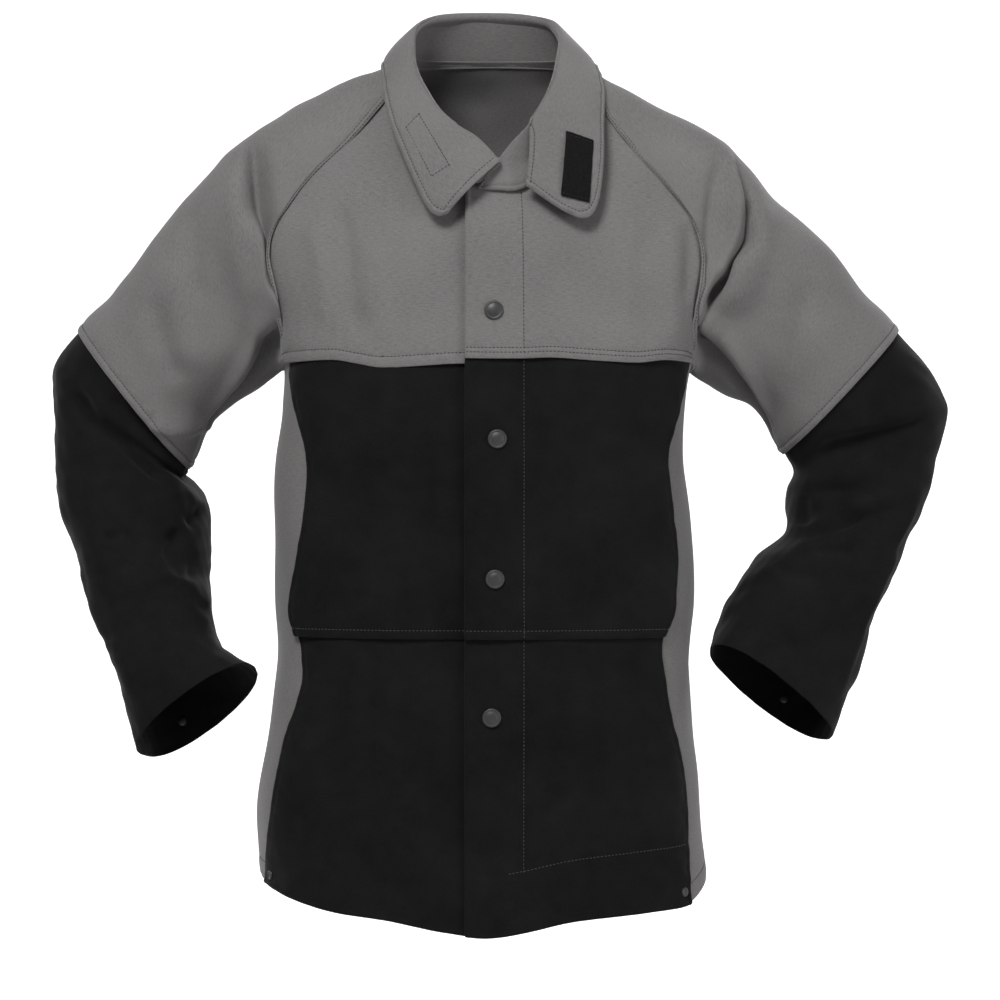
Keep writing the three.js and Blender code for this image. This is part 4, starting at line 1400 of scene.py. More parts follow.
def hang(node: str, cloth: Cloth, finish: Finish,
         stitching: Stitching | None = None) -> bpy.types.Object:
    """Args:
        node: The node.
        cloth: The cloth.
        finish: Its finish.
        stitching: The stitches on it.

    Returns:
        The piece.
    """
    piece = settle(cloth.wall(f"{node}_cloth", finish), finish.slot, node)
    sewn = stitching.piece(f"{node}_stitching") if stitching else None
    cloth.flat
    cloth.flat_area * MM * MM
    log.info("%s: flat %.3f by %.3f m, %.4f square metres", node, *cloth.flat, cloth.flat_area * MM * MM)
    return piece


def sew_edges(cloth: Cloth, seams: Sequence[tuple[Edge, Seam]], thread: Thread, seed: int) -> Stitching:
    """Presses seams into a cloth and sews them.

    Args:
        cloth: The cloth.
        seams: Edges and the seams beside them.
        thread: The thread.
        seed: The seed of the puckers.

    Returns:
        The stitches.
    """
    cloth.sew(seams, seed)
    stitching = Stitching(thread)
    for edge, seam in seams:
        if seam.sewn:
            stitching.add(*cloth.line(edge, seam.inset), seam.trims)
    return stitching


@dataclass
class Front:
    """One front: a grey yoke over two leather panels, the left one lapped over the right one."""

    body: Body
    side: Side
    yoke_size: tuple[float, float] = (205.0, 250.0)
    upper_size: tuple[float, float] = (200.0, 257.0)
    lower_size: tuple[float, float] = (210.0, 265.0)
    tail: float = 4.0
    under_run: float = 12.0
    corner_drop: float = 10.0
    corner_share: float = 0.12
    placket: float = 51.5
    ridge_gap: float = 3.4
    ridge: float = 0.45
    stitch_groove: float = 0.5
    hem_depth: float = 55.0
    hem_trims: tuple[float, float] = (38.0, 6.0)
    yoke_trim: float = 5.5
    free_run: float = 30.0
    cloths: dict[Level, Cloth] = field(default_factory=dict)

    YOKE_HEM_LAP = Lap(2.0, 14.0, 44.0)
    YOKE_SEAM_LAP = Lap(-0.5, 3.0, 9.0)
    YOKE_RIPPLE = Ripple(0.5, (70.0, 190.0), 11)
    YOKE_SEED = 21
    LEATHER_TOP_LAP = Lap(-0.6, 10.0, 18.0)
    LEATHER_SIDE_LAP = Lap(1.8, 8.0, 36.0)
    LEATHER_FOOT_LAP = Lap(2.3, 12.0, 40.0)
    LEATHER_RIPPLES = {
        Level.UPPER: (Ripple(0.8, (60.0, 170.0), 31), Ripple(0.12, (9.0, 22.0), 41)),
        Level.LOWER: (Ripple(0.8, (60.0, 170.0), 35), Ripple(0.12, (9.0, 22.0), 45)),
    }
    LEATHER_SEEDS = {Level.UPPER: 51, Level.LOWER: 71}
    ROLLED_EDGE = Seam(4.5, puff=0.9, groove=0.0, pucker=0.1, sewn=False)
    LEATHER_SIDE = Seam(4.0, puff=0.5, sewn=False)
    LEATHER_FOOT = Seam(7.0, puff=0.6)
    LEATHER_HEM = Seam(4.0, puff=0.7, groove=0.0, pucker=0.2, sewn=False)

    # The rows of stitches in the yoke's hem
    YOKE_HEM = Seam(9.2, puff=0.7, trims=(0.0, 10.0))
    YOKE_HEM_ROWS = {
        Side.RIGHT: (YOKE_HEM,),
        Side.LEFT: (YOKE_HEM, Seam(5.0, puff=0.1, groove=0.25, pucker=0.1, trims=(0.0, 10.0))),
    }

    # How far the yoke's hem stands above its level: x and height
    HEM_WAVES = {
        Side.RIGHT: ((-190, 1.0), (-141, 3.5), (-119, 0.0), (-97, -3.5), (-40, -1.0), (-15, 0.0),
                     (30, 8.0)),
        Side.LEFT: ((-23, 3.0), (27, 2.0), (56, 2.5), (98, -1.0), (130, -3.0), (154, -1.0), (182, -4.0)),
    }

    @property
    def edge_x(self) -> float:
        """The front edge's place across."""
        return FRONT_EDGE_X if self.side is Side.LEFT else UNDER_EDGE_X

    def cloth(self, patch: Array, thickness: float) -> Cloth:
        """A patch in x and z laid on the body, and lifted where it laps.

        Args:
            patch: A grid of x and z.
            thickness: The cloth's thickness.

        Returns:
            The cloth.
        """
        x, z = patch[..., 0], patch[..., 1]
        turn = self.body.turn_at(x, z)
        made = Cloth(self.body.point(turn, z), self.body.facing(turn, z), thickness, grain=patch)
        if self.side is Side.LEFT:
            made.lift(self.body.lap(x))
        return made

    def front_seams(self, foot: float = 0.0) -> list[tuple[Edge, Seam]]:
        """The rolled front edge, and on the left the placket's stitches with the ridge beside them.

        Args:
            foot: The length of placket left bare at its foot.

        Returns:
            Edges and the seams beside them.
        """
        seams = [self.ROLLED_EDGE]
        if self.side is Side.LEFT:
            seams += [Seam(self.placket + self.ridge_gap, 0.0, -self.ridge, 0.0, sewn=False),
                      Seam(self.placket, 0.0, self.stitch_groove, trims=(0.0, foot))]
        return [(Edge.START, seam) for seam in seams]

    def build_yoke(self) -> None:
        """The grey upper front, from the neck and the raglan seam to its wavy hem."""
        u, v = [graded(size) for size in self.yoke_size]
        sign = self.side.value
        start_angle = math.degrees(math.asin(self.edge_x / Body.NECK_HALF_WIDTH))
        neck = self.body.neck(lerp(start_angle, sign * RAGLAN_FRONT_ANGLE, u))[:, 0::2]
        if self.side is Side.LEFT:
            neck[:, 1] -= self.corner_drop * (1 - smoothstep(u, 0, self.corner_share))
        seam = beside(Track.through(RAGLAN_FRONT[self.side]).at(v), sign * self.tail)
        hem = straight((self.edge_x, YOKE_HEM_Z), seam[-1], u)
        hem[:, 1] = YOKE_HEM_Z + Track.by_column(self.HEM_WAVES[self.side]).at(hem[:, 0])[:, 0]
        start = straight(neck[0], hem[0], v)
        cloth = self.cloth(patch_between(neck, hem, start, seam, u, v), COTTON)
        cloth.lap(Edge.BOTTOM, self.YOKE_HEM_LAP)
        cloth.lap(Edge.END, self.YOKE_SEAM_LAP)
        cloth.crease(YOKE_FOLDS[self.side])
        cloth.ripple(self.YOKE_RIPPLE, draw=sign)
        seams = self.front_seams(self.yoke_trim)
        seams += [(Edge.BOTTOM, row) for row in self.YOKE_HEM_ROWS[self.side]]
        stitching = sew_edges(cloth, seams, DARK_THREAD, self.YOKE_SEED + sign)
        self.cloths[Level.YOKE] = cloth
        hang(f"{self.side.word}_yoke", cloth, GREY_COTTON, stitching)

    def build_leather(self, level: Level) -> None:
        """A leather panel, from under the one above it to its lap or the hem.

        Args:
            level: Upper or lower.
        """
        lower = level is Level.LOWER
        u, v = [graded(size) for size in (self.lower_size if lower else self.upper_size)]
        sign = self.side.value
        top_z = (LEATHER_LAP_Z if lower else YOKE_HEM_Z) + self.under_run
        end_x, end_z = self.body.leather_foot(self.side)
        if not lower:
            end_x, end_z = float(self.body.leather_x(self.side, LEATHER_LAP_Z)), LEATHER_LAP_Z
        across = lerp(self.edge_x, end_x, u)
        foot = stack(across, self.body.front_hem_z(across) if lower else LEATHER_LAP_Z)
        down = lerp(top_z, end_z, v)
        top = straight((self.edge_x, top_z), (self.body.leather_x(self.side, top_z), top_z), u)
        start = straight(top[0], foot[0], v)
        end = stack(self.body.leather_x(self.side, down), down)
        cloth = self.cloth(patch_between(top, foot, start, end, u, v), LEATHER)
        cloth.lap(Edge.TOP, self.LEATHER_TOP_LAP)
        free = smoothstep(cloth.spans[Edge.TOP], self.under_run, self.under_run + self.free_run)
        cloth.lap(Edge.END, self.LEATHER_SIDE_LAP, free)
        seams = self.front_seams(self.hem_depth if lower else 0.0)
        seams.append((Edge.END, self.LEATHER_SIDE))
        if lower:
            if self.side is Side.LEFT:
                row = Seam(self.hem_depth, 0.0, self.stitch_groove, trims=self.hem_trims)
                seams.append((Edge.BOTTOM, row))
            seams.append((Edge.BOTTOM, self.LEATHER_HEM))
        else:
            cloth.lap(Edge.BOTTOM, self.LEATHER_FOOT_LAP)
            seams.append((Edge.BOTTOM, self.LEATHER_FOOT))
        cloth.crease(LEATHER_FOLDS[self.side])
        for ripple in self.LEATHER_RIPPLES[level]:
            cloth.ripple(ripple, draw=sign)
        stitching = sew_edges(cloth, seams, GREY_THREAD, self.LEATHER_SEEDS[level] + sign)
        self.cloths[level] = cloth
        hang(f"{self.side.word}_{level.value}_leather", cloth, BLACK_SUEDE, stitching)

    def build(self) -> None:
        """All three panels."""
        self.build_yoke()
        self.build_leather(Level.UPPER)
        self.build_leather(Level.LOWER)


@dataclass
class SidePanel:
    """The grey strip of one side, from under the leather's edge to under the back."""

    body: Body
    side: Side
    size: tuple[float, float] = (110.0, 475.0)
    under_run: float = 8.0
    top_z: float = ARMPIT_Z + 4.0
    seam_turn: float = SIDE_SEAM_TURN + 3.0
    hem_depth: float = 16.0

    FRONT_LAP = Lap(-1.8, 8.0, 20.0)
    RIPPLE = Ripple(0.7, (60.0, 150.0), 71)
    SEED = 75

    def build(self) -> None:
        """Lays the strip on the body, on turns and heights."""
        u, v = [graded(size) for size in self.size]
        sign = self.side.value

        def edge_turn(z: ArrayLike) -> Array:
            """The turn of the strip's front edge, under the leather."""
            return self.body.turn_at(self.body.leather_x(self.side, z) - sign * self.under_run, z)

        edge_hem = self.body.leather_foot(self.side)[1]
        seam_turn = sign * self.seam_turn
        edge_z = lerp(self.top_z, edge_hem, v)
        seam_z = lerp(self.top_z, self.body.hem_z(seam_turn), v)
        top = straight((edge_turn(self.top_z), self.top_z), (seam_turn, self.top_z), u)
        turns = lerp(edge_turn(edge_hem), seam_turn, u)
        foot = stack(turns, self.body.hem_z(turns))
        start, end = stack(edge_turn(edge_z), edge_z), stack(seam_turn, seam_z)
        patch = patch_between(top, foot, start, end, u, v)
        turn, z = patch[..., 0], patch[..., 1]
        cloth = Cloth(self.body.point(turn, z), self.body.facing(turn, z), COTTON)
        cloth.ripple(self.RIPPLE, Edge.START, Edge.END, draw=sign)
        cloth.lap(Edge.START, self.FRONT_LAP)
        seams = [(Edge.BOTTOM, Seam(self.hem_depth))]
        stitching = sew_edges(cloth, seams, DARK_THREAD, self.SEED + sign)
        hang(f"{self.side.word}_side_panel", cloth, GREY_COTTON, stitching)


@dataclass
class Back:
    """The plain grey back, from the neck to the hem, lapped over both side strips."""

    body: Body
    size: tuple[float, float] = (430.0, 765.0)
    seam_share: float = 0.5
    underarm_share: float = 0.5625
    tail: float = 4.0
    side_turn: float = SIDE_SEAM_TURN + GAP_TURN
    hem_depth: float = 16.0
    coarse: float = 3.6
    lap_run: float = 20.0

    SIDE_LAP = Lap(1.6, 8.0, 30.0)
    SIDE_SEAM = Seam(6.5)
    RIPPLES = (Ripple(1.6, (110.0, 320.0), 81), Ripple(0.4, (40.0, 90.0), 82))
    SEED = 83

    def edge(self, side: Side, shares: Array) -> Array:
        """One edge: down the raglan seam to the armpit, then down the side seam to the hem.

        Args:
            side: The side.
            shares: Shares of the way down.

        Returns:
            Turns from the front, without sign, and heights.
        """
        route = self.body.raglan_back(side, np.clip(shares / self.seam_share, 0, 1))
        ends = shares <= self.seam_share
        moved = route.copy()
        moved[ends] = beside(route[ends], side.value * self.tail)
        seam = stack(side.value * self.body.back_turn_at(moved[:, 0], moved[:, 1]), moved[:, 1])
        top_z = ARMPIT_Z - UNDERARM_GAP
        armpit = seam[ends][-1, 0]
        level = np.clip((shares - self.seam_share) / (self.underarm_share - self.seam_share), 0, 1)
        down = np.clip((shares - self.underarm_share) / (1 - self.underarm_share), 0, 1)
        foot = self.body.hem_z(side.value * self.side_turn)
        rest = stack(lerp(armpit, self.side_turn, level), lerp(top_z, foot, down))
        return np.where(ends[:, None], seam, rest)

    def build(self) -> None:
        """Lays the back on the body, with its rows evened between the two edges."""
        u, v = [graded(size, coarse=self.coarse) for size in self.size]
        right, left = self.edge(Side.RIGHT, v), self.edge(Side.LEFT, v)
        right[:, 0] = 360 - right[:, 0]
        neck_points = self.body.neck(lerp(360 - RAGLAN_BACK_ANGLE, RAGLAN_BACK_ANGLE, u))
        neck_turn = self.body.back_turn_at(neck_points[:, 0], neck_points[:, 2])
        neck = stack(np.where(neck_points[:, 0] < 0, 360 + neck_turn, neck_turn), neck_points[:, 2])
        turns = lerp(360 - self.side_turn, self.side_turn, u)
        hem = stack(turns, self.body.hem_z(np.where(turns > 180, turns - 360, turns)))
        patch = patch_between(neck, hem, right, left, u, v)
        even = lerp(neck[None, :, 1], hem[None, :, 1], v[:, None])
        turn, z = patch[..., 0], lerp(even, patch[..., 1], (2 * u - 1) ** 2)
        cloth = Cloth(self.body.point(turn, z), self.body.facing(turn, z), COTTON)
        sides = (Edge.START, Edge.END)
        below = smoothstep(-z, -ARMPIT_Z, -ARMPIT_Z + self.lap_run)
        for edge in sides:
            cloth.lap(edge, self.SIDE_LAP, below)
        for ripple in self.RIPPLES:
            cloth.ripple(ripple, Edge.TOP, *sides)
        seams = [(Edge.BOTTOM, Seam(self.hem_depth)), *((edge, self.SIDE_SEAM) for edge in sides)]
        stitching = sew_edges(cloth, seams, DARK_THREAD, self.SEED)
        hang("back_panel", cloth, GREY_COTTON, stitching)


@dataclass
class Sleeve:
    """One raglan sleeve of cotton over a leather forearm, along the rings of a bent arm."""

    body: Body
    side: Side
    columns: int = 208
    elbow_ring: int = 5
    squareness: float = 0.1
    crease_start: float = 0.16
    neck_half: float = 30.0
    seam_end: float = 150.0
    seam_trim: float = 4.0
    underarm_drop: float = 3.0
    hollow: float = 20.0
    hollow_angle: float = 13.0
    hollow_width: float = 7.0
    hollow_left: float = 0.4
    hollow_run: float = 50.0
    rim: float = 7.0
    rim_angle: float = 4.0
    under_run: float = 12.0
    sample_angle: float = 45.0
    forearm: Cloth | None = None

    HOLLOW_START = (2.0, 26.0)
    CREASE_RISE = (-0.1, 0.2)
    CREASE_FALL = (0.8, 1.1)
    SEAM_LAP = Lap(1.7, 9.0, 30.0)
    HEM_LAP = Lap(2.4, 12.0, 40.0)
    FOREARM_LAP = Lap(-0.6, 10.0, 20.0)
    SLEEVE_RIPPLES = (Ripple(1.1, (70.0, 170.0), 91), Ripple(0.35, (28.0, 60.0), 94))
    FOREARM_RIPPLES = (Ripple(1.2, (50.0, 120.0), 101), Ripple(0.3, (14.0, 34.0), 104))
    FELLED = (Seam(1.6, puff=0.1, groove=0.5, sewn=False), Seam(7.2, puff=1.2, groove=0.9, sewn=False))
    HEM_SEAM = Seam(6.6, puff=0.7)
    SEED = 97
    SHOULDER_RISE = {Side.RIGHT: 0.32, Side.LEFT: -0.08}

    # The angle of the sleeve's lower rim at the seam and at each ring down to the elbow
    RIM_ANGLES = {Side.RIGHT: (128, 131, 138, 150, 160, 165), Side.LEFT: (130, 130, 133, 149, 160, 165)}

    def __post_init__(self) -> None:
        """Works out the rings, their distances down the arm and their slopes."""
        self.angles = np.linspace(0, 360, self.columns + 1)
        samples = self.rings(np.arange(0, 360, self.sample_angle))
        gaps = np.linalg.norm(np.diff(samples, axis=0), axis=-1).mean(axis=1)
        self.places = np.pad(np.cumsum(gaps), (1, 0))
        self.all_rings = self.rings(self.angles)
        self.slopes = Track(self.places, self.all_rings.reshape(len(self.places), -1)).slopes
        self.slopes = self.slopes.reshape(self.all_rings.shape)
        rise = self.SHOULDER_RISE[self.side] * np.maximum(np.cos(np.radians(self.angles)), 0)
        self.slopes[0, :, 2] += rise * np.linalg.norm(self.slopes[0], axis=-1)
        outer_x, outer_z, inner_x, inner_z, middle_y, *_ = np.asarray(ARM_RINGS[self.side], float).T
        centres = stack((outer_x + inner_x) / 2, middle_y, (outer_z + inner_z) / 2)
        self.middles = Track(self.places[1:], centres)

    def seam(self, angles: Array) -> Array:
        """The loop where the sleeve leaves the body.

        Args:
            angles: Angles round the arm in degrees, from its top and over its front.

        Returns:
            Points: the neck near the top, the raglan seams on both sides, and the body at the underarm.
        """
        sign = self.side.value
        signed = np.where(angles > 180, angles - 360, angles)
        away = np.abs(signed)
        share = np.clip((away - self.neck_half) / (self.seam_end - self.neck_half), 0, 1)
        end = np.where(signed < 0, RAGLAN_BACK_ANGLE, RAGLAN_FRONT_ANGLE)
        neck_angle = lerp(NECK_RIDGE_ANGLE, end, np.minimum(away / self.neck_half, 1))
        neck = self.body.neck(sign * neck_angle)
        front_route = Track.through(RAGLAN_FRONT[self.side]).at(share)
        back_route = self.body.raglan_back(self.side, share)
        front = self.body.front(front_route[:, 0], front_route[:, 1])
        back_turn = self.body.back_turn_at(back_route[:, 0], back_route[:, 1])
        back = self.body.point(back_turn, back_route[:, 1])
        armpits = [self.body.turn_at(*RAGLAN_FRONT[self.side][-1]),
                   self.body.back_turn_at(sign * RAGLAN_BACK[-1][0], RAGLAN_BACK[-1][1])]
        under = np.clip((angles - self.seam_end) / (360 - 2 * self.seam_end), 0, 1)
        drop = self.underarm_drop * np.minimum(4 * np.minimum(under, 1 - under), 1)
        underarm = self.body.point(lerp(*armpits, under), ARMPIT_Z - drop)
        seams = np.where((signed > 0)[:, None], front, back)
        lower = np.where((away >= self.seam_end)[:, None], underarm, seams)
        return np.where((away <= self.neck_half)[:, None], neck, lower)

    def rings(self, angles: Array) -> Array:
        """The seam's loop and each ring of the arm.

        With s and c the sine and cosine of the angle and q the squareness, a ring is its middle plus its
        half span times c (1 + q s squared), less its half depth times s (1 + q c squared) along Y,
        moved down the arm by its sweep times s squared less its rake times s.

        Args:
            angles: Angles round the arm in degrees.

        Returns:
            Points, ring by ring.
        """
        table = np.asarray(ARM_RINGS[self.side], float).T[..., None]
        outer_x, outer_z, inner_x, inner_z, middle_y, half_depth, rake, sweep = table
        c, s = np.cos(np.radians(angles)), np.sin(np.radians(angles))
        outer, inner = stack(outer_x, 0, outer_z), stack(inner_x, 0, inner_z)
        half = (outer - inner) / 2
        down = unit(self.side.value * stack(half[..., 2], 0, -half[..., 0]))
        middle = (outer + inner) / 2 + stack(0, middle_y, 0)
        q = self.squareness
        across = half * (c * (1 + q * s * s))[:, None]
        depth = stack(0, -half_depth * s * (1 + q * c * c), 0)
        slant = down * (sweep * s * s - rake * s)[..., None]
        return np.concatenate([self.seam(angles)[None], middle + across + depth + slant])

    def cloth(self, start: float, end: float, thickness: float) -> Cloth:
        """The part of the arm between two distances, with the large creases pressed in.

        Args:
            start: The distance of its first row.
            end: The distance of its last row.
            thickness: The cloth's thickness.

        Returns:
            The cloth.
        """
        at = lerp(start, end, graded(end - start))
        i = np.clip(np.searchsorted(self.places, at) - 1, 0, len(self.places) - 2)
        step = (self.places[i + 1] - self.places[i])[:, None, None]
        w = cubic_weights((at - self.places[i])[:, None, None] / step)
        base = w[0] * self.all_rings[i] + w[1] * self.all_rings[i + 1]
        base = base + step * (w[2] * self.slopes[i] + w[3] * self.slopes[i + 1])
        middle = self.middles.at(np.maximum(at, self.places[1]))[:, None]
        front = np.maximum(np.sin(np.radians(self.angles)), 0)
        fade = smoothstep(at / self.places[-1], 0, self.crease_start)[:, None] * front
        depth = self.crease_depth(base) * fade + self.hollow_depth(at)
        points = base + unit(middle - base) * depth[..., None]
        return Cloth(points, grid_facing(points, points - middle, True), thickness, ring=True)

    def hollow_depth(self, at: Array) -> Array:
        """How deep the cloth is drawn in under the arm, behind a rim that bulges out.

        Both are bells of the angle from the rim. They start at the seam, shrink towards the elbow and end
        a little beyond it.

        Args:
            at: Distances down the arm.

        Returns:
            Depths, row by row.
        """
        elbow = self.places[self.elbow_ring]
        rims = np.asarray(self.RIM_ANGLES[self.side], float)[:, None]
        off = self.angles - Track(self.places[:len(rims)], rims).at(at)
        bells = (self.hollow * np.exp(-(((off - self.hollow_angle) / self.hollow_width) ** 2))
                 - self.rim * np.exp(-(((off + self.rim_angle) / self.hollow_width) ** 2)))
        shrink = lerp(1.0, self.hollow_left, smoothstep(at, elbow / 2, elbow))
        ends = smoothstep(at, *self.HOLLOW_START) * (1 - smoothstep(at, elbow, elbow + self.hollow_run))
        return (shrink * ends)[:, None] * bells

    def crease_depth(self, points: Array) -> Array:
        """How deep the large creases press in: bells across straight runs, fading at their ends.

        Args:
            points: The points.

        Returns:
            A depth for each point.
        """
        start_x, start_z, end_x, end_z, width, depth = np.asarray(ARM_CREASES, float).T
        run_x, run_z = end_x - start_x, end_z - start_z
        from_x, from_z = points[..., 0, None] - start_x, points[..., 2, None] - start_z
        length = np.hypot(run_x, run_z)
        share = (from_x * run_x + from_z * run_z) / length**2
        across = (from_x * run_z - from_z * run_x) / length / width
        ends = smoothstep(share, *self.CREASE_RISE) * (1 - smoothstep(share, *self.CREASE_FALL))
        return (depth * ends * np.exp(-(across**2))).sum(axis=-1)

    def build(self) -> None:
        """The cotton sleeve with its felled seam and hem, and the leather forearm under it."""
        sign, word = self.side.value, self.side.word
        elbow = self.places[self.elbow_ring]
        sleeve = self.cloth(0.0, elbow, COTTON)
        sleeve.lap(Edge.TOP, self.SEAM_LAP)
        sleeve.lap(Edge.BOTTOM, self.HEM_LAP)
        sleeve.crease(SLEEVE_FOLDS[self.side], Edge.TOP)
        for ripple in self.SLEEVE_RIPPLES:
            sleeve.ripple(ripple, Edge.BOTTOM, draw=sign)
        seams = [*((Edge.TOP, seam) for seam in self.FELLED), (Edge.BOTTOM, self.HEM_SEAM)]
        stitching = sew_edges(sleeve, seams, DARK_THREAD, self.SEED + sign)
        for seam in self.FELLED:
            points, facing = sleeve.line(Edge.TOP, seam.inset)
            for angles in (self.angles, 360 - self.angles):
                part = (angles > self.neck_half) & (angles < self.seam_end - self.seam_trim)
                stitching.add(points[part], facing[part])
        hang(f"{word}_sleeve", sleeve, GREY_COTTON, stitching)

        forearm = self.cloth(elbow - self.under_run, self.places[-1], LEATHER)
        forearm.lap(Edge.TOP, self.FOREARM_LAP)
        forearm.crease(FOREARM_FOLDS[self.side])
        for ripple in self.FOREARM_RIPPLES:
            forearm.ripple(ripple, Edge.TOP, draw=sign)
        self.forearm = forearm
        hang(f"{word}_forearm", forearm, BLACK_SUEDE)


@dataclass
class Collar:
    """A turned-down collar: a stand round the neck, a leaf that rolls over it, and two touch patches."""

    body: Body
    bulge: float = 5.0
    roll_radius: float = 4.2
    roll_steps: int = 9
    roll_turn: float = 175.0
    inner_run: float = 6.0
    stand_start: float = 3.0
    stand_inset: float = 3.5
    stand_lap: tuple[float, float] = (5.0, 3.4)
    loose_lift: float = 5.0
    loose_end: tuple[float, float] = (35.0, 80.0)
    loose_foot: tuple[float, float] = (5.0, 26.0)
    foot_drop: float = 7.5
    drop_start: tuple[float, float] = (0.0, 30.0)
    drop_end: tuple[float, float] = (45.0, 85.0)
    leaf_size: tuple[float, float] = (600.0, 66.0)
    stand_size: tuple[float, float] = (430.0, 60.0)
    patch_size: tuple[float, float] = (26.0, 58.0)
    end_trim: float = 5.0
    hook_inset: float = 1.4
    hook_rise: float = 0.2
    newton_steps: int = 12
    run_steps: int = 4
    tries: int = 400

    # The columns of the stations' table
    FOLD = slice(1, 4)
    EDGE = slice(4, 7)

    LEAF_EDGE = Seam(5.6, puff=1.1, groove=0.55, pucker=0.25, trims=(4.0, 4.0))
    LEAF_ENDS = {Edge.START: Seam(5.2, puff=0.9, groove=0.5), Edge.END: Seam(3.4, puff=0.7, groove=0.5)}
    LEAF_RIPPLE = Ripple(0.5, (45.0, 110.0), 111)
    LEAF_SEED = 113
    STAND_SEAMS = ((Edge.TOP, Seam(3.0, puff=0.5, sewn=False)), (Edge.END, Seam(3.4, puff=0.6)))
    STAND_RIPPLE = Ripple(0.3, (40.0, 90.0), 121)
    STAND_SEED = 123
    PATCH_SEAM = Seam(2.2, puff=0.1, groove=0.5)
    PATCH_RIPPLE = Ripple(0.12, (5.0, 14.0), 131)
    PATCH_SEED = 133
    LOOP_CORNERS = ((67, -45), (90, -53), (86, -108), (62, -102))
    LOOP_STATION = 18.0
    HOOK_CORNERS = ((-65, -26), (-78, -40), (-54, -87), (-36, -75))
    HOOK_STATION = 4.0

    def __post_init__(self) -> None:
        """Turns the stations into curves."""
        rows = np.asarray(COLLAR, float)
        self.curve = Track(np.arange(len(rows)), rows)
        whole = np.concatenate([rows[:, :self.FOLD.stop], np.asarray(STAND_END, float)])
        self.stand_curve = Track(np.arange(len(whole)), whole)
        self.last = len(rows) - 1.0

    def leaf(self, at: Array, share: Array) -> Array:
        """The leaf between its fold and its edge, bowed out of the straight line between them.

        Args:
            at: Stations.
            share: Shares of the way from fold to edge.

        Returns:
            Points.
        """
        row = self.curve.at(at)
        point = lerp(row[..., self.FOLD], row[..., self.EDGE], np.asarray(share)[..., None])
        bow = self.bulge * 4 * share * (1 - share)
        return point + self.body.over_shoulders(point) * np.asarray(bow)[..., None]

    def leaf_facing(self, at: Array, share: Array, step: float = 0.01) -> Array:
        """The way the leaf faces: its run across crossed with its run down.

        Args:
            at: Stations.
            share: Shares of the way from fold to edge.
            step: Half of each run.

        Returns:
            Unit vectors.
        """
        across = self.leaf(at + step, share) - self.leaf(at - step, share)
        down = self.leaf(at, share + step) - self.leaf(at, share - step)
        normal = unit(np.cross(across, down))
        outward = (normal * self.body.over_shoulders(self.leaf(at, share))).sum(-1, keepdims=True)
        return normal * np.sign(outward)

    def stations(self, first: float, last: float, track: Track, size: float, columns: slice) -> Array:
        """Stations spaced evenly along a curve, finer at its ends.

        Args:
            first: The first station.
            last: The last station.
            track: The curve's table.
            size: The curve's rough length.
            columns: The curve's columns in it.

        Returns:
            Rising stations.
        """
        tries = np.linspace(first, last, self.tries)
        route = track.at(tries)[:, columns]
        lengths = run_lengths(route)
        return np.interp(graded(size, fine=1.1, coarse=2.2), lengths / lengths[-1], tries)

    def build_leaf(self) -> None:
        """The leaf with its wings: a run inside the stand, a roll over its top, then the fall.

        The roll is part of a circle that touches the leaf at its fold: its middle is a radius behind
        the fold, and it turns from the leaf's face up and over to the inside.
        """
        at = self.stations(0, self.last, self.curve, self.leaf_size[0], self.EDGE)
        share = graded(self.leaf_size[1], fine=1.1, coarse=2.0)
        fall = self.leaf(*np.broadcast_arrays(at[None], share[:, None]))
        face = grid_facing(fall, self.body.over_shoulders(fall), False)[0]
        up = fall[0] - fall[1]
        up = unit(up - face * (up * face).sum(-1, keepdims=True))
        turns = np.radians(np.linspace(self.roll_turn, 0, self.roll_steps, endpoint=False))[:, None, None]
        middle = fall[0] - self.roll_radius * face
        roll = middle + self.roll_radius * (np.cos(turns) * face + np.sin(turns) * up)
        inward = -np.sin(turns[0]) * face + np.cos(turns[0]) * up
        steps = np.linspace(self.inner_run, 0, self.run_steps, endpoint=False)
        run = roll[0] + steps[:, None, None] * inward
        points = np.concatenate([run, roll, fall])
        cloth = Cloth(points, grid_facing(points, self.body.over_shoulders(points), False), COLLAR_CLOTH)
        trims = (self.inner_run + math.radians(self.roll_turn) * self.roll_radius, self.end_trim)
        ends = [(edge, replace(seam, trims=trims)) for edge, seam in self.LEAF_ENDS.items()]
        cloth.ripple(self.LEAF_RIPPLE)
        stitching = sew_edges(cloth, [(Edge.BOTTOM, self.LEAF_EDGE), *ends], DARK_THREAD, self.LEAF_SEED)
        hook = self.patch(self.HOOK_CORNERS, self.HOOK_STATION, -COLLAR_CLOTH - PATCH_GAP)
        for edge in Edge:
            points, facing = hook.line(edge, self.hook_inset)
            stitching.add(points + facing * (COLLAR_CLOTH + PATCH_GAP + self.hook_rise), facing)
        hang("collar_leaf", cloth, GREY_COTTON, stitching)
        self.build_patch("hook_patch", hook)
        loop = self.patch(self.LOOP_CORNERS, self.LOOP_STATION, PATCH + PATCH_GAP)
        self.build_patch("loop_patch", loop)

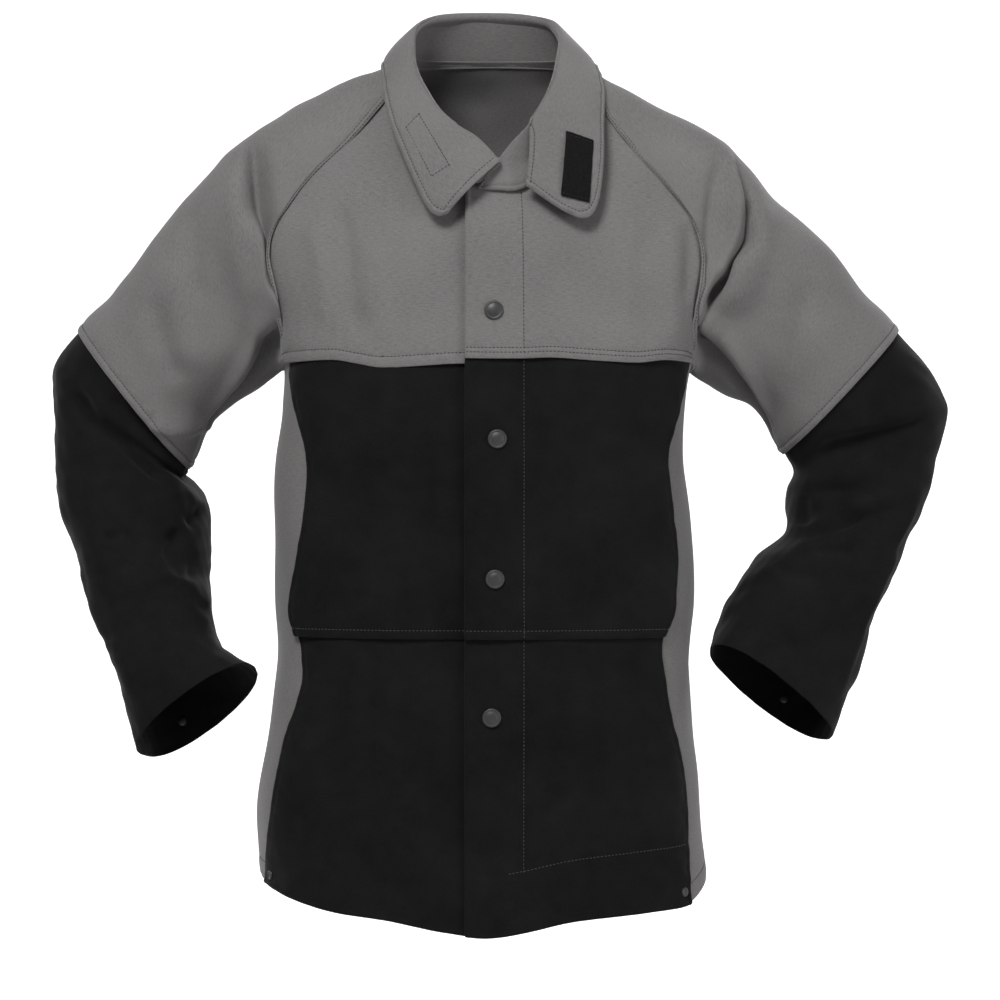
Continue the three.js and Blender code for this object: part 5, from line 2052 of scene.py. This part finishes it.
    def build_stand(self) -> None:
        """The band round the neck, lapped down over the panels at its foot, under the leaf at its top."""
        last = len(self.stand_curve.places) - 1.0
        at = self.stations(self.stand_start, last, self.stand_curve, self.stand_size[0], self.FOLD)
        share = graded(self.stand_size[1], coarse=3.0)
        row = self.stand_curve.at(at)
        neck = self.body.neck(row[:, 0])
        x, z = neck[:, 0], neck[:, 2]
        low = z - self.foot_drop * smoothstep(x, *self.drop_start) * (1 - smoothstep(x, *self.drop_end))
        turn = self.body.turn_at(x, low)
        lapped = self.body.point(turn, low) + self.body.facing(turn, low) * self.body.lap(x)[:, None]
        on_left = (at > last / 2) & (neck[:, 1] < Body.NECK_CENTRE_Y)
        foot = np.where(on_left[:, None], lapped, neck)
        fold = row[:, self.FOLD]
        top = fold - self.stand_inset * self.body.around_neck(fold)
        down, out = self.stand_lap
        foot = foot - unit(top - foot) * down + self.body.around_neck(foot) * out
        points = lerp(foot[None], top[None], share[:, None, None])
        facing = grid_facing(points, self.body.around_neck(points), False)
        cloth = Cloth(points, facing, COLLAR_CLOTH)
        cloth.ripple(self.STAND_RIPPLE)
        loose = 1 - smoothstep(cloth.spans[Edge.END], *self.loose_end)
        cloth.lift(self.loose_lift * loose * (1 - smoothstep(cloth.spans[Edge.TOP], *self.loose_foot)))
        stitching = sew_edges(cloth, self.STAND_SEAMS, DARK_THREAD, self.STAND_SEED)
        hang("collar_stand", cloth, GREY_COTTON, stitching)

    def patch(self, corners: Sequence[tuple[float, float]], near: float, lift: float) -> Cloth:
        """A touch patch on the leaf, found by Newton's method from its corners in the front view.

        Args:
            corners: Its corners as x and z, in turn.
            near: A station near it.
            lift: How far its face stands above the leaf's.

        Returns:
            The cloth.
        """
        u, v = [graded(size, fine=0.8, coarse=1.6, band=4.0) for size in self.patch_size]
        a, b, c, d = np.asarray(corners, float)
        goal = lerp(lerp(a, b, u[None, :, None]), lerp(d, c, u[None, :, None]), v[:, None, None])
        at, share = np.full(goal.shape[:2], near), np.full(goal.shape[:2], 0.5)
        step = 0.001
        for _ in range(self.newton_steps):
            here = self.leaf(at, share)[..., 0::2]
            by_at = (self.leaf(at + step, share)[..., 0::2] - here) / step
            by_share = (self.leaf(at, share + step)[..., 0::2] - here) / step
            area = by_at[..., 0] * by_share[..., 1] - by_at[..., 1] * by_share[..., 0]
            miss = goal - here
            at = at + (miss[..., 0] * by_share[..., 1] - miss[..., 1] * by_share[..., 0]) / area
            share = share + (miss[..., 1] * by_at[..., 0] - miss[..., 0] * by_at[..., 1]) / area
        facing = self.leaf_facing(at, share)
        return Cloth(self.leaf(at, share) + facing * lift, facing, PATCH)

    def build_patch(self, node: str, cloth: Cloth) -> None:
        """One patch, with a row of stitches at each end.

        Args:
            node: The node that it stands for.
            cloth: The patch.
        """
        cloth.ripple(self.PATCH_RIPPLE)
        seams = [(edge, self.PATCH_SEAM) for edge in (Edge.TOP, Edge.BOTTOM)]
        stitching = sew_edges(cloth, seams, BLACK_THREAD, self.PATCH_SEED)
        hang(node, cloth, BLACK_PILE, stitching)

    def build(self) -> None:
        """The stand, and the leaf with its patches."""
        self.build_stand()
        self.build_leaf()


@dataclass
class Fasteners:
    """The snaps of the front and the small rivets and snaps of the hem and the cuffs."""

    fronts: dict[Side, Front]
    sleeves: dict[Side, Sleeve]
    sides: int = 28

    # Radius and height above the cloth, from the axis at the back to the axis at the front
    CAP = ((0, -4.4), (5.5, -4.4), (5.5, -3.0), (2.0, -2.6), (2.0, -0.4), (7.9, -0.4), (8.5, 0.1),
           (8.5, 1.3), (8.1, 2.0), (7.4, 2.3), (6.8, 2.2), (6.3, 1.9), (5.9, 2.0), (4.6, 2.6), (2.6, 3.0),
           (0, 3.1))
    RIVET = ((0, -4.0), (2.8, -3.9), (4.0, -2.7), (4.0, -2.2), (1.6, -2.0), (1.6, -0.3), (4.0, -0.3),
             (4.3, 0.3), (4.0, 1.0), (3.2, 1.4), (2.5, 1.1), (1.9, 0.7), (0, 0.6))
    CUFF = ((0, -4.4), (2.4, -4.2), (3.8, -3.3), (4.0, -2.3), (1.6, -2.0), (1.6, -0.3), (6.6, -0.3),
            (7.0, 0.3), (6.6, 1.2), (5.6, 1.6), (5.0, 1.4), (3.0, 1.9), (0, 2.1))

    # The left front's panel under each snap
    CAP_LEVELS = (Level.YOKE, Level.UPPER, Level.UPPER, Level.LOWER)

    def seat(self, node: str, cloth: Cloth) -> tuple[Array, Array]:
        """The cloth's surface under a node: its nearest point, moved level to the node's middle.

        Args:
            node: The node.
            cloth: The cloth that carries it.

        Returns:
            A point and the way the cloth faces there.
        """
        middle = np.mean([list(corner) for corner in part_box(node)], axis=0) / MM
        away = np.linalg.norm(cloth.points - middle, axis=-1)
        nearest = np.unravel_index(away.argmin(), away.shape)
        point, facing = cloth.points[nearest], cloth.facing[nearest]
        return middle - facing * ((middle - point) @ facing), facing

    def turned(self, node: str, profile: Sequence[tuple[float, float]], cloth: Cloth) -> None:
        """A profile carried round an axis that stands on a cloth, in place of a node.

        Args:
            node: The node.
            profile: Radii and heights, from axis to axis.
            cloth: The cloth that carries it.
        """
        point, facing = self.seat(node, cloth)
        aside = unit(np.cross(facing, (0.0, 0.0, 1.0)))
        radius, height = np.asarray(profile, float)[1:-1].T
        angle = np.radians(np.arange(self.sides) * 360 / self.sides)[:, None]
        spoke = np.cos(angle) * aside + np.sin(angle) * np.cross(facing, aside)
        rings = point + radius[:, None, None] * spoke + height[:, None, None] * facing
        poles = point + np.array([profile[0][1], profile[-1][1]])[:, None] * facing
        count = len(radius) * self.sides
        j = np.arange(self.sides)
        after = (j + 1) % self.sides
        low = np.arange(len(radius) - 1)[:, None] * self.sides
        sides = np.stack([low + j, low + after, low + self.sides + after, low + self.sides + j], axis=-1)
        base = count - self.sides
        caps = np.concatenate([np.stack([after, j, 0 * j + count], axis=-1),
                               np.stack([base + j, base + after, 0 * j + count + 1], axis=-1)])
        points = np.concatenate([rings.reshape(-1, 3), poles])
        piece = make_piece(f"{node}_metal", points, [sides.reshape(-1, 4), caps], PLATED_STEEL)
        settle(piece, PLATED_STEEL.slot, node)

    def build(self) -> None:
        """All fasteners. The studs behind the front keep their own shape."""
        left = self.fronts[Side.LEFT]
        for number, level in enumerate(self.CAP_LEVELS, 1):
            self.turned(f"snap_cap_{number}", self.CAP, left.cloths[level])
            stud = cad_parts[f"snap_stud_{number}"]
            stud.data.materials.clear()
            stud.data.materials.append(PLATED_STEEL.material())
        for side in Side:
            self.turned(f"{side.word}_hem_rivet", self.RIVET, self.fronts[side].cloths[Level.LOWER])
            self.turned(f"{side.word}_cuff_snap", self.CUFF, self.sleeves[side].forearm)


@dataclass
class Studio:
    """A pale sweep of paper, soft lights and the camera."""

    floor_z: float = -1.3
    sweep_radius: float = 3.0
    half_width: float = 40.0
    depth: tuple[float, float] = (-40.0, 7.5)
    top_z: float = 5.0
    sweep_points: int = 16
    camera_place: tuple[float, float, float] = (0.0074, -3.5, -0.25)
    aim: tuple[float, float, float] = (0.0074, 0.0, -0.377)
    lens: float = 136.96
    sensor: float = 36.0
    clip_end: float = 100.0
    world_light: float = 0.15

    # Place, aim, size and power of each light
    LIGHTS = (
        ("key", (-0.9, -2.3, 2.1), (0.0, 0.0, -0.3), 1.1, 88.0),
        ("fill", (2.8, -2.0, -0.1), (0.1, 0.0, -0.45), 1.4, 34.0),
        ("top", (-0.2, -0.4, 2.3), (0.0, 0.0, -0.2), 1.6, 5.0),
        ("back", (0.5, 2.8, 1.6), (0.0, 0.0, -0.4), 1.6, 45.0),
    )

    def build_paper(self) -> None:
        """A floor that curves up into a backdrop: a straight, a quarter circle and a straight."""
        turns = np.radians(np.linspace(0, 90, self.sweep_points))
        back, radius = self.depth[1], self.sweep_radius
        curve = stack(back - radius + radius * np.sin(turns), self.floor_z + radius * (1 - np.cos(turns)))
        line = np.concatenate([[(self.depth[0], self.floor_z)], curve, [(back, self.top_z)]])
        ends = (-self.half_width, self.half_width)
        points = np.concatenate([stack(x, line[:, 0], line[:, 1]) for x in ends])
        k = np.arange(len(line) - 1)
        faces = np.stack([k, k + len(line), k + len(line) + 1, k + 1], axis=-1)
        make_piece("paper_sweep", points / MM, [faces], StudioPaper("studio_paper", None))

    def aimed(self, name: str, data: bpy.types.ID, place: Sequence[float],
              aim: Sequence[float]) -> bpy.types.Object:
        """A light or camera at a place, turned to look at a point.

        Args:
            name: Its name.
            data: Its data.
            place: Where it stands.
            aim: What it looks at.

        Returns:
            The linked object.
        """
        made = bpy.data.objects.new(name, data)
        made.location = place
        made.rotation_euler = (Vector(aim) - Vector(place)).to_track_quat("-Z", "Y").to_euler()
        bpy.context.scene.collection.objects.link(made)
        return made

    def build(self) -> None:
        """The camera, the lights, the world and the paper."""
        scene = bpy.context.scene
        camera = bpy.data.cameras.new("camera")
        camera.lens = self.lens
        camera.sensor_width = self.sensor
        camera.clip_end = self.clip_end
        scene.camera = self.aimed("camera", camera, self.camera_place, self.aim)
        scene.view_settings.view_transform = "Standard"
        for name, place, aim, size, power in self.LIGHTS:
            light = bpy.data.lights.new(name, "AREA")
            light.size = size
            light.energy = power
            self.aimed(name, light, place, aim)
        world = scene.world or bpy.data.worlds.new("studio")
        scene.world = world
        world.use_nodes = True
        background = world.node_tree.nodes["Background"]
        background.inputs["Color"].default_value = (1, 1, 1, 1)
        background.inputs["Strength"].default_value = self.world_light
        self.build_paper()


def main() -> None:
    """Builds the studio and every part of the jacket."""
    logging.basicConfig(level=logging.INFO, format="%(name)s: %(message)s")
    Studio().build()
    body = Body()
    fronts = {side: Front(body, side) for side in Side}
    sleeves = {side: Sleeve(body, side) for side in Side}
    parts = [*fronts.values(), *(SidePanel(body, side) for side in Side), Back(body), *sleeves.values(),
             Collar(body), Fasteners(fronts, sleeves)]
    for part in parts:
        part.build()


if __name__ == "__main__":
    main()
